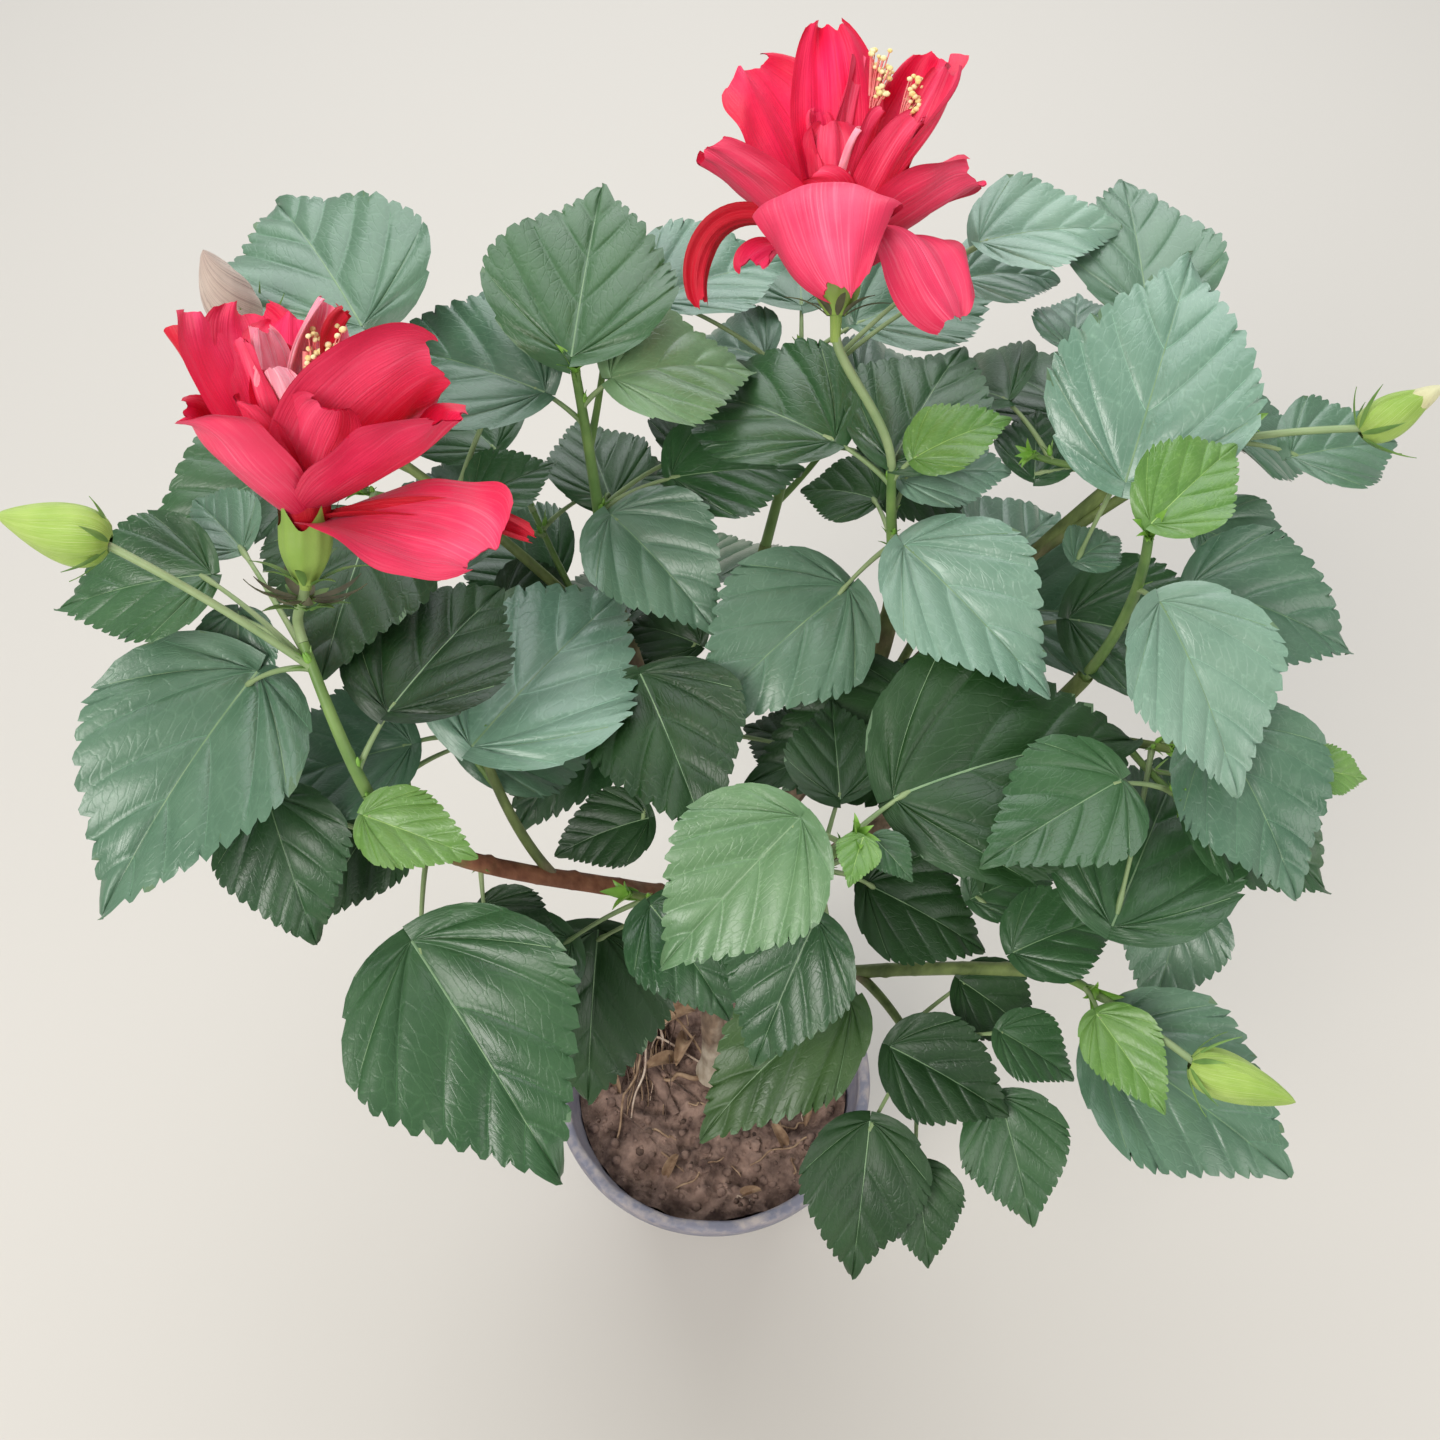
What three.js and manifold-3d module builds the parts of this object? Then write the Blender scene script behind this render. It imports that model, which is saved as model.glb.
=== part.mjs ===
// Hibiscus shrub in a tapered plastic pot, with two double red blooms.
// Millimetres, +Z up. The origin is the centre of the pot's flat underside.
// The shrub is seen along +Y from above, so +X is on the right.
import * as THREE from 'three';
import { mergeVertices } from 'three/addons/utils/BufferGeometryUtils.js';
import Module from 'manifold-3d';

const wasm = await Module();
wasm.setup();

const UP = new THREE.Vector3(0, 0, 1);
const { cos, sin, PI, abs, exp, floor, sqrt } = Math;

// Driving dimensions: pot and soil
const POT_HEIGHT = 120;
const RIM_RADIUS = 85;
const LIP_HEIGHT = 9;
const LIP_DEPTH = 5;
const POT_FOOT_RADIUS = 50;
const POT_WALL = 2.6;
const POT_FLOOR = 4;
const DRAIN_HOLES = 6;
const DRAIN_RADIUS = 4;
const DRAIN_CIRCLE_RADIUS = 34;
const POT_SIDES = 32;
const POT_EDGE = 2;
const LIP_EDGE = 1.5;
const LIP_WIDTH = 6.4;
const SOIL_TOP = 100;
const SOIL_EDGE_DROP = 5;
const SOIL_SHOULDER = { share: 0.62, drop: 1.5 };
const STEM_SEAT_RADIUS = 16;
const CLEAR = 0.3;

// Driving dimensions: wood
const TRUNK = { foot: [1, 8], bend: 60, turn: [-1, 7, 240], fork: [-5, 16, 299] };
const TRUNK_FOOT_RADIUS = 6.4;
const TRUNK_TOP_RADIUS = 5;
const ROOT_FLARE = 4;
const ROOT_FLARE_FALL = 14;
const TRUNK_SIDES = 8;
const BOUGH_SIDES = 6;
const LIMB_STEPS = 7;
const STEM_SIDES = 5;
const TWIG_SIDES = 3;
const STEM_RADIUS = 2.4;
const STEM_TIP_RADIUS = 1.7;
const STEM_BEND = 0.45;
const SIDE_STEM_FOLLOW = 0.3;
const TWIG_RADIUS = 1.6;
const PETIOLE_RADIUS = 1.2;
const PETIOLE_TIP_RADIUS = 0.7;
const PETIOLE_RISE = 14;
const PETIOLE_ARCH = 0.16;
const PETIOLE_INSET = 0.06;
const STEM_PLACES = { count: 20, skipped: [3, -2] };

// Driving dimensions: leaves
const LEAF_THICK = 1.1;
const LEAF_SHAPE = { foot: 0.62, fullness: 0.85 };
const LEAF_WIDTH = { least: 0.39, span: 0.06 };
const LEAF_ROLL = { least: -6, span: 12 };
const LEAF_TO_LIGHT = 13;
const LEAF_CURL = { least: 12, span: 26 };
const LEAF_FOLD = { least: 7, span: 9 };
const LEAF_ROWS = [0.2, 0.62];
const LEAF_GAP = 2.2;
const LIMB_GAP = 1.6;
const SHEET_REACH = 0.62;
const PATH_STEP = 4;
const PATH_GAP = 0.9;
const FREE_ROOT_POINTS = 3;
const POT_GAP = 8;

// Driving dimensions: the side twigs that the seeded rule grows
const GOLDEN = 0.618034;
const TWIG_PLACES = { least: 0.2, span: 0.75 };
const TWIG_FAN_JITTER = 0.3;
const TWIG_LENGTH = { least: 26, span: 26 };
const TWIG_CLIMB = 0.45;
const TWIG_SAG = 0.1;
const TWIG_LEAVES = 3;
const TWIG_LEAF_BLADE = { least: 54, span: 34 };
const TWIG_LEAF_PETIOLE = { least: 16, span: 16 };
const TWIG_LEAF_DROOP = { least: 4, span: 30 };
const TWIG_LEAF_SWING = 60;
const TWIG_LEAF_JITTER = 30;
const TWIG_LEAF_CLIMB = 0.5;
const TWIG_LEAF_STEP = 0.3;
const ROOM = 150;
const LEAF_SEEDS = 1e6;

// Driving dimensions: blooms and buds
const PETAL_THICK = 1.2;
const PETAL_ROWS = [0.45, 0.88];
const PETAL_SHAPE = { claw: 0.14, widest: 0.66, roundness: 2.4 };
const PETAL_CUP = 0.28;
const PETAL_SINK = 3;
const PETAL_OUT = 1.5;
const CALYX_LENGTH = 18;
const CALYX_RADIUS = 8;
const CALYX_NECK_RADIUS = 3;
const CALYX_SWELL = 1.3;
const CALYX_SINK = 2;
const COLUMN_LENGTH = 40;
const COLUMN_RADIUS = 2;
const COLUMN_SINK = 4;
const STALK_LEAD = 0.4;
const STALK_ENTRY = 12;
const BUD_SIDES = 7;
const BUD_SHAPE = { least: 0.12, from: 0.06, to: 0.96, lean: 0.7, fullness: 0.9 };
const BUD_STALK_RADIUS = 1.4;
const BUD_STALK_ROOT = 0.9;
const BUD_STALK_ARCH = 0.08;
const BUD_STALK_INSET = 0.1;

// Each bough leaves the trunk at a height (a share of the trunk) and bends
// through two guide points to its end, tapering from the first radius.
const BOUGHS = [
  {
    name: 'bough_left', on: 0.9, radii: [4.4, 3],
    guides: [[-41, 12, 308], [-108, -19, 360]], end: [-114, -31, 432],
  },
  {
    name: 'bough_back_left', on: 1, radii: [4, 3],
    guides: [[-13, 54, 343], [-40, 84, 380]], end: [-43, 96, 435],
  },
  {
    name: 'bough_centre', on: 0.97, radii: [4.4, 3.4],
    guides: [[37, 38, 336], [81, 67, 371]], end: [71, 80, 439],
  },
  {
    name: 'bough_back_right', on: 0.84, radii: [4, 2.8],
    guides: [[46, 67, 327], [118, 115, 373]], end: [158, 110, 446],
  },
  {
    name: 'bough_right', on: 0.74, radii: [4.4, 3.4],
    guides: [[48, 34, 292], [140, 65, 332]], end: [153, 60, 389],
  },
  {
    name: 'bough_front_right', on: 0.5, radii: [3.4, 2.6],
    guides: [[35, -8, 255], [92, -21, 292]], end: [131, -43, 330],
  },
  {
    name: 'bough_front', on: 0.62, radii: [3.2, 2.4],
    guides: [[8, -5, 297], [35, -21, 334]], end: [39, -31, 384],
  },
  {
    name: 'bough_back', on: 0.68, radii: [3.4, 2.6],
    guides: [[-2, 54, 284], [13, 115, 343]], end: [24, 131, 391],
  },
];

// Each shoot is one mass of foliage. It leaves its bough at a share of the
// bough's length and its stem ends at tip. A leaf is the place of its blade's
// foot (x, y, z), the blade's length, its compass heading (0 to the right, 90
// away) and its droop. The twigs that the photograph can't show grow by rule:
// how many, their compass bearing, and how far they fan to each side of it.
const SHOOTS = [
  {
    name: 'foliage_left', bough: 'bough_left', on: 1, tip: [-132, -1, 485], seed: 11,
    leaves: [
      [-156, 8, 458, 97, -120, 20],
      [-107, -13, 463, 74, 65, 10],
      [-115, -41, 443, 41, -20, 12],
      [-168, 28, 486, 59, -177, 15],
      [-160, 40, 488, 38, 130, 0],
      [-164, 28, 470, 37, -90, 35],
    ],
    buds: [{ neck: [-188, 14, 516], tip: [-220, 16, 527], radius: 9 }],
  },
  {
    name: 'foliage_left_low', bough: 'bough_left', on: 0.62, tip: [-121, -14, 378], seed: 12,
    leaves: [
      [-107, -58, 385, 101, -53, 25],
      [-162, -11, 408, 59, -68, 40],
      [-123, 14, 374, 64, -128, 30],
      [-90, -28, 354, 40, -30, 20],
    ],
    twigs: { count: 2, bearing: 70, fan: 50 },
  },
  {
    name: 'foliage_left_inner', bough: 'bough_left', on: 0.45, tip: [-86, 10, 420], seed: 13,
    leaves: [
      [-86, 0, 424, 99, 58, 5],
      [-83, 78, 420, 46, 34, 10],
    ],
    twigs: { count: 2, bearing: 100, fan: 40 },
  },
  {
    name: 'foliage_back_left', bough: 'bough_back_left', on: 1, tip: [-48, 107, 507], seed: 14,
    leaves: [
      [-49, 108, 512, 81, 84, -12],
      [-35, 104, 512, 63, 36, 8],
      [-60, 108, 496, 77, 152, 5],
      [-15, 107, 454, 59, 20, 15],
      [-40, 114, 435, 55, 107, 5],
      [-8, 132, 440, 48, 86, 5],
      [-38, 92, 449, 63, -45, 22],
    ],
    twigs: { count: 1, bearing: 100, fan: 30 },
  },
  {
    name: 'foliage_far_left', bough: 'bough_back_left', on: 0.6, tip: [-136, 104, 486], seed: 15,
    leaves: [
      [-123, 115, 520, 86, 121, 0],
      [-67, 156, 486, 39, 143, 5],
      [-88, 86, 463, 37, 39, 5],
    ],
    buds: [{ neck: [-162, 109, 520], tip: [-167, 106, 564], radius: 7 }],
    twigs: { count: 3, bearing: 165, fan: 60 },
  },
  {
    name: 'foliage_centre', bough: 'bough_centre', on: 1, tip: [67, 86, 478], seed: 16,
    leaves: [
      [46, 96, 489, 81, 151, 0],
      [67, 88, 483, 72, 63, -8],
      [74, 84, 483, 40, 19, 0],
      [72, 95, 465, 46, 12, 8],
      [67, 109, 440, 37, 150, 20],
      [71, 61, 465, 77, -43, 22],
      [53, 67, 435, 78, -141, 20],
    ],
  },
  {
    name: 'foliage_back', bough: 'bough_back', on: 1, tip: [41, 157, 465], seed: 17,
    leaves: [
      [-23, 157, 498, 68, 35, 8],
      [102, 167, 518, 59, 14, 5],
      [98, 169, 500, 46, 17, 15],
    ],
    twigs: { count: 3, bearing: 90, fan: 80 },
  },
  {
    name: 'foliage_back_right', bough: 'bough_back_right', on: 1, tip: [157, 126, 496], seed: 18,
    leaves: [
      [142, 147, 486, 42, 79, 0],
      [166, 145, 504, 74, 90, -15],
      [151, 78, 477, 94, 70, -18],
      [125, 102, 458, 39, 82, 0],
      [139, 72, 444, 28, 40, 10],
      [184, 118, 507, 22, 78, -20],
    ],
    twigs: { count: 3, bearing: -130, fan: 35 },
  },
  {
    name: 'foliage_far_right', bough: 'bough_back_right', on: 0.8, tip: [197, 104, 483], seed: 19,
    leaves: [
      [215, 93, 478, 52, 20, 10],
      [196, 102, 431, 52, -23, 20],
    ],
    buds: [{ neck: [235, 91, 492], tip: [262, 99, 507], radius: 8 }],
    twigs: { count: 2, bearing: 120, fan: 65 },
  },
  {
    name: 'foliage_right', bough: 'bough_right', on: 1, tip: [149, 39, 494], seed: 20,
    leaves: [
      [148, 38, 500, 48, 41, -5],
      [159, 34, 465, 77, -60, 38],
      [181, 60, 443, 70, -13, 18],
    ],
  },
  {
    name: 'foliage_right_low', bough: 'bough_right', on: 0.72, tip: [173, 8, 411], seed: 21,
    leaves: [
      [186, 12, 421, 72, -60, 32],
      [148, -49, 385, 91, 70, -8],
      [192, -12, 352, 55, -86, 34],
      [223, 3, 405, 28, 0, 20],
    ],
    twigs: { count: 2, bearing: -120, fan: 65 },
  },
  {
    name: 'foliage_front_right', bough: 'bough_front_right', on: 1, tip: [145, -60, 348], seed: 22,
    leaves: [
      [147, -75, 341, 88, -33, 17],
      [143, -74, 358, 42, -62, 12],
      [118, -43, 340, 48, 12, 12],
      [104, -19, 345, 44, 25, 12],
    ],
    buds: [{ neck: [172, -95, 363], tip: [208, -108, 359], radius: 8 }],
  },
  {
    name: 'foliage_front_low', bough: 'bough_front_right', on: 0.5, tip: [89, -60, 281], seed: 23,
    leaves: [
      [73, -63, 302, 57, -25, 18],
      [119, -77, 283, 55, -73, 35],
      [65, -87, 283, 66, -98, 38],
      [84, -99, 265, 42, -81, 30],
      [116, -60, 311, 37, -28, 20],
      [104, -34, 306, 42, -30, 18],
    ],
  },
  {
    name: 'foliage_front', bough: 'bough_front', on: 1, tip: [50, -42, 432], seed: 24,
    leaves: [
      [31, -40, 440, 70, -140, 28],
      [65, -23, 426, 103, 20, 8],
      [39, -49, 385, 61, -119, 40],
      [56, -51, 320, 83, -147, 18],
      [48, -13, 409, 49, 91, 5],
      [52, -46, 437, 20, -110, 0],
      [56, -43, 432, 20, -46, 20],
      [62, -16, 352, 58, -20, 25],
      [70, 5, 340, 50, -60, 20],
    ],
  },
  {
    name: 'foliage_front_left', bough: 'bough_front', on: 0.4, tip: [-31, -25, 360], seed: 25,
    leaves: [
      [-22, -38, 375, 53, -50, 28],
      [-46, -22, 325, 75, -95, 42],
      [-55, -34, 343, 55, -150, 30],
    ],
  },
  {
    name: 'foliage_middle', bough: 'bough_back_left', on: 0.3, tip: [-22, 30, 409], seed: 26,
    leaves: [
      [-26, 35, 412, 72, -68, 34],
      [-24, 3, 371, 42, -166, 20],
      [47, 21, 385, 46, 141, 20],
      [-4, 66, 398, 37, 151, 20],
    ],
  },
  {
    name: 'foliage_back_low', bough: 'bough_back', on: 0.5, tip: [-42, 117, 360], seed: 27,
    leaves: [],
    twigs: { count: 4, bearing: 130, fan: 80 },
  },
  {
    name: 'foliage_right_back_low', bough: 'bough_back_right', on: 0.45, tip: [109, 139, 371], seed: 28,
    leaves: [],
    twigs: { count: 4, bearing: -30, fan: 40 },
  },
];

// Each bloom ends a shoot. A petal is its turn round the bloom's axis (0 to
// the right, 90 towards the viewer), the height on the column where it starts,
// its lean from the axis, its length, its half width and its outward curl.
const BLOOMS = [
  {
    name: 'bloom_left', shoot: 'foliage_left', calyx: [-124, 0, 516], bearing: 80, climb: 55,
    petals: [
      [150, 2, 58, 61, 28, 55],
      [20, 2, 88, 74, 25, 60],
      [200, 4, 44, 77, 12, 20],
      [240, 6, 22, 72, 25, 15],
      [45, 6, 30, 72, 31, 15],
      [100, 4, 34, 53, 25, 30],
      [275, 7, 30, 68, 25, 30],
      [320, 7, 38, 66, 25, 35],
      [185, 13, 18, 53, 18, 10],
      [265, 22, 6, 48, 15, 10],
      [340, 17, 16, 52, 18, 15],
    ],
  },
  {
    name: 'bloom_right', shoot: 'foliage_centre', calyx: [44, 104, 527], bearing: 88, climb: 46,
    petals: [
      [95, 2, 38, 55, 29, 62],
      [178, 8, 88, 79, 16, 150],
      [14, 8, 84, 77, 22, 150],
      [178, 13, 46, 59, 13, 20],
      [215, 13, 24, 74, 25, 10],
      [255, 18, 8, 79, 20, 10],
      [30, 13, 32, 64, 22, 15],
      [345, 20, 32, 66, 18, 10],
      [310, 9, 34, 64, 25, 30],
      [245, 7, 38, 64, 25, 35],
      [330, 28, 14, 39, 14, 10],
    ],
  },
];

// Small helpers
const radians = THREE.MathUtils.degToRad;
const mix = THREE.MathUtils.lerp;
const point = (place) => new THREE.Vector3(...place);

function seeded(seed) {
  let state = seed;
  return () => {
    state = (state * 1664525 + 1013904223) % 4294967296;
    return state / 4294967296;
  };
}

function within(range, chance) {
  return range.least + range.span * chance();
}

function compass(degrees, climb = 0) {
  return new THREE.Vector3(cos(radians(degrees)), sin(radians(degrees)), climb);
}

function solidOf(geometry) {
  const bare = geometry.clone();
  bare.deleteAttribute('normal');
  bare.deleteAttribute('uv');
  const merged = mergeVertices(bare, 1e-4);
  const mesh = new wasm.Mesh({
    numProp: 3,
    vertProperties: new Float32Array(merged.attributes.position.array),
    triVerts: new Uint32Array(merged.index.array),
  });
  return new wasm.Manifold(mesh);
}

function fuse(solids) {
  let whole = solids[0];
  for (const solid of solids.slice(1)) {
    whole = whole.add(solid);
  }
  return whole;
}

// The largest closed body of a solid: sealed hollows are filled and loose
// scraps are dropped.
function mainBody(solid) {
  return solid.decompose().reduce((best, piece) => (piece.volume() > best.volume() ? piece : best));
}

function geometryOf(vertices, triangles) {
  const geometry = new THREE.BufferGeometry();
  const numbers = vertices.flatMap((vertex) => vertex.toArray());
  geometry.setAttribute('position', new THREE.Float32BufferAttribute(numbers, 3));
  geometry.setIndex(triangles.flat());
  return geometry;
}

// A limb: a tube that tapers along a curve, with flat cut ends
function limbSolid(curve, radiusAt, sides, steps) {
  const { normals, binormals } = curve.computeFrenetFrames(steps);
  const vertices = [];
  const triangles = [];
  for (let step = 0; step <= steps; step += 1) {
    const along = step / steps;
    const centre = curve.getPointAt(along);
    for (let side = 0; side < sides; side += 1) {
      const turn = (2 * PI * side) / sides;
      const arm = normals[step].clone().multiplyScalar(cos(turn))
        .addScaledVector(binormals[step], sin(turn));
      vertices.push(centre.clone().addScaledVector(arm, radiusAt(along)));
    }
  }
  const last = steps * sides;
  for (let side = 0; side < sides; side += 1) {
    const next = (side + 1) % sides;
    for (let ring = 0; ring < last; ring += sides) {
      triangles.push([ring + side, ring + next, ring + sides + side]);
      triangles.push([ring + next, ring + sides + next, ring + sides + side]);
    }
    if (side > 0 && side < sides - 1) {
      triangles.push([0, side + 1, side]);
      triangles.push([last, last + side, last + side + 1]);
    }
  }
  return solidOf(geometryOf(vertices, triangles));
}

const taper = (radii) => (along) => mix(radii[0], radii[1], along);

// A leaf or petal is a thin sheet. It runs ahead from its foot and sinks by
// its droop, which its curl changes along the way; its two halves rise from
// the midrib by the fold, and its edges bend up by the cup.
function leafBreadth(s) {
  return sin(PI * s ** LEAF_SHAPE.foot) ** LEAF_SHAPE.fullness;
}

function petalBreadth(s) {
  const { claw, widest, roundness } = PETAL_SHAPE;
  if (s <= widest) {
    return mix(claw, 1, sin(((PI / 2) * s) / widest));
  }
  return sqrt(1 - ((s - widest) / (1 - widest)) ** roundness);
}

function sheetPoint(sheet, s, t, lift = 0) {
  const first = sheet.droop - sheet.curl / 2;
  const slope = first + sheet.curl * s;
  const run = (sheet.length * (sin(slope) - sin(first))) / sheet.curl;
  const fall = (sheet.length * (cos(first) - cos(slope))) / sheet.curl;
  const flat = sheet.up.clone().cross(sheet.ahead);
  const face = sheet.ahead.clone().multiplyScalar(sin(slope)).addScaledVector(sheet.up, cos(slope));
  const side = flat.clone().multiplyScalar(cos(sheet.roll)).addScaledVector(face, sin(sheet.roll));
  const normal = face.multiplyScalar(cos(sheet.roll)).addScaledVector(flat, -sin(sheet.roll));
  const half = sheet.half * sheet.breadth(s);
  const rise = half * (abs(t) * sin(sheet.fold) + t * t * sheet.cup);
  return sheet.foot.clone()
    .addScaledVector(sheet.ahead, run)
    .addScaledVector(sheet.up, -fall)
    .addScaledVector(side, t * half * cos(sheet.fold))
    .addScaledVector(normal, rise + lift);
}

// The sheet's coarse skin: one point at the foot, three across each row, and
// one at the tip, with the triangles between them.
function sheetSkin(sheet, lift) {
  const vertices = [sheetPoint(sheet, 0, 0, lift)];
  for (const row of sheet.rows) {
    for (const t of [1, 0, -1]) {
      vertices.push(sheetPoint(sheet, row, t, lift));
    }
  }
  vertices.push(sheetPoint(sheet, 1, 0, lift));
  return vertices;
}

function skinTriangles(rows) {
  const triangles = [[0, 2, 1], [0, 3, 2]];
  for (let row = 0; row < rows - 1; row += 1) {
    const first = 1 + 3 * row;
    for (const left of [first, first + 1]) {
      triangles.push([left, left + 1, left + 3], [left + 1, left + 4, left + 3]);
    }
  }
  const last = 3 * rows + 1;
  triangles.push([last - 3, last - 2, last], [last - 2, last - 1, last]);
  return triangles;
}

function skinOutline(rows) {
  const outline = [0];
  for (let row = 0; row < rows; row += 1) {
    outline.push(3 + 3 * row);
  }
  outline.push(3 * rows + 1);
  for (let row = rows - 1; row >= 0; row -= 1) {
    outline.push(1 + 3 * row);
  }
  return outline;
}

function sheetSolid(sheet) {
  const top = sheetSkin(sheet, sheet.thick / 2);
  const bottom = sheetSkin(sheet, -sheet.thick / 2);
  const count = top.length;
  const triangles = [];
  for (const [a, b, c] of skinTriangles(sheet.rows.length)) {
    triangles.push([a, b, c], [c + count, b + count, a + count]);
  }
  const outline = skinOutline(sheet.rows.length);
  outline.forEach((a, index) => {
    const b = outline[(index + 1) % outline.length];
    triangles.push([b, a, a + count], [b, a + count, b + count]);
  });
  return solidOf(geometryOf([...top, ...bottom], triangles));
}

function leafSheet(foot, length, heading, droop, chance) {
  return {
    foot, length, droop: radians(droop), ahead: compass(heading), up: UP,
    half: length * within(LEAF_WIDTH, chance),
    roll: radians(within(LEAF_ROLL, chance) + LEAF_TO_LIGHT * cos(radians(heading))),
    curl: radians(within(LEAF_CURL, chance)),
    fold: radians(within(LEAF_FOLD, chance)),
    cup: 0, thick: LEAF_THICK, rows: LEAF_ROWS, breadth: leafBreadth,
  };
}

// The clear test. A sheet's edges must not pass through another sheet, nor
// through the same sheet moved up or down by the gap that is kept.
const placedSheets = [];
const placedPaths = [];

function skinEdges(vertices, rows) {
  const edges = [];
  for (const [a, b, c] of skinTriangles(rows)) {
    edges.push([vertices[a], vertices[b]], [vertices[b], vertices[c]], [vertices[c], vertices[a]]);
  }
  return edges;
}

function edgeHits([start, end], triangle) {
  const reach = end.clone().sub(start);
  const ray = new THREE.Ray(start, reach.clone().normalize());
  const hit = ray.intersectTriangle(...triangle, false, new THREE.Vector3());
  return hit !== null && hit.distanceTo(start) <= reach.length();
}

function edgesHitSheet(edges, sheet, gap) {
  const triangles = skinTriangles(sheet.rows.length);
  for (const lift of [0, gap, -gap]) {
    const skin = sheetSkin(sheet, lift);
    for (const [a, b, c] of triangles) {
      if (edges.some((edge) => edgeHits(edge, [skin[a], skin[b], skin[c]]))) {
        return true;
      }
    }
  }
  return false;
}

function pathEdges(path) {
  return path.points.slice(1).map((end, index) => [path.points[index], end]);
}

function near(centre, radius, other) {
  return centre.distanceTo(other.centre) < radius + other.radius;
}

function sheetRecord(sheet) {
  const skin = sheetSkin(sheet, 0);
  return {
    sheet,
    centre: sheetPoint(sheet, 0.5, 0),
    radius: sheet.length * SHEET_REACH,
    edges: skinEdges(skin, sheet.rows.length),
  };
}

function pathRecord(curve, radius, owner, kin = []) {
  const points = curve.getPoints(Math.ceil(curve.getLength() / PATH_STEP));
  const centre = points[0].clone().lerp(points[points.length - 1], 0.5);
  const reach = Math.max(...points.map((spot) => spot.distanceTo(centre)));
  return { owner, kin, points, centre, radius: reach + radius, thick: radius };
}

function outsidePot(sheet) {
  return sheetSkin(sheet, 0).every((spot) => {
    const out = sqrt(spot.x * spot.x + spot.y * spot.y);
    return spot.z > POT_HEIGHT + POT_GAP || out > RIM_RADIUS + POT_GAP;
  });
}

function sheetsMeet(one, other) {
  return edgesHitSheet(one.edges, other.sheet, LEAF_GAP) || edgesHitSheet(other.edges, one.sheet, LEAF_GAP);
}

function sheetIsClear(record) {
  const offSheets = placedSheets.every((other) => (
    !near(record.centre, record.radius, other) || !sheetsMeet(record, other)
  ));
  return offSheets && outsidePot(record.sheet) && placedPaths.every((path) => (
    !near(record.centre, record.radius, path)
      || !edgesHitSheet(pathEdges(path), record.sheet, path.thick + LIMB_GAP)
  ));
}

// A path's own root is left out beside the limb or stalk that it grows from.
function pathsMeet(path, other) {
  const spot = new THREE.Vector3();
  const least = path.thick + other.thick + PATH_GAP;
  const free = path.points.slice(path.kin.includes(other.owner) ? FREE_ROOT_POINTS : 0);
  return pathEdges(other).some(([start, end]) => {
    const line = new THREE.Line3(start, end);
    return free.some((place) => line.closestPointToPoint(place, true, spot).distanceTo(place) < least);
  });
}

function pathIsClear(path) {
  const edges = pathEdges(path);
  const offSheets = placedSheets.every((other) => (
    !near(path.centre, path.radius, other) || !edgesHitSheet(edges, other.sheet, path.thick + LIMB_GAP)
  ));
  return offSheets && placedPaths.every((other) => (
    other.owner === path.owner || !near(path.centre, path.radius, other) || !pathsMeet(path, other)
  ));
}

// The petiole: from the place on the stem nearest to a spot just under the
// blade's foot, in a low arch, to a little way inside the blade.
function petioleCurve(stem, sheet) {
  const spot = sheet.foot.clone().addScaledVector(UP, -Math.min(PETIOLE_RISE, sheet.length / 4));
  const places = stem.getPoints(STEM_PLACES.count).slice(...STEM_PLACES.skipped);
  const [root] = places.sort((one, other) => one.distanceTo(spot) - other.distanceTo(spot));
  const end = sheetPoint(sheet, PETIOLE_INSET, 0);
  const arch = root.clone().lerp(end, 0.5).addScaledVector(UP, PETIOLE_ARCH * root.distanceTo(end));
  return new THREE.QuadraticBezierCurve3(root, arch, end);
}

// A leaf tries small changes of droop, heading and height, and is skipped if
// none of them is clear of what is there already.
const LEAF_TRIES = [
  [0, 0, 0], [-7, 0, 3], [7, 0, -3], [-12, 8, 6], [12, -8, -6], [0, 12, 8],
  [0, -12, -8], [-20, 0, 10], [20, 0, -8], [-8, 20, 12], [8, -20, -12],
];

function placeLeaf(shoot, stem, leaf) {
  const [x, y, z, length, heading, droop] = leaf;
  const seed = floor(shoot.chance() * LEAF_SEEDS);
  for (const [sink, turn, lift] of LEAF_TRIES) {
    const foot = new THREE.Vector3(x, y, z + lift);
    const sheet = leafSheet(foot, length, heading + turn, droop + sink, seeded(seed));
    const record = sheetRecord(sheet);
    const petiole = petioleCurve(stem, sheet);
    const path = pathRecord(petiole, PETIOLE_RADIUS, shoot.name, shoot.kin);
    if (sheetIsClear(record) && pathIsClear(path)) {
      placedSheets.push(record);
      placedPaths.push({ ...path, points: path.points.slice(0, -1) });
      const thinning = taper([PETIOLE_RADIUS, PETIOLE_TIP_RADIUS]);
      shoot.solids.push(sheetSolid(sheet), limbSolid(petiole, thinning, TWIG_SIDES, 2));
      return;
    }
  }
}

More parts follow.
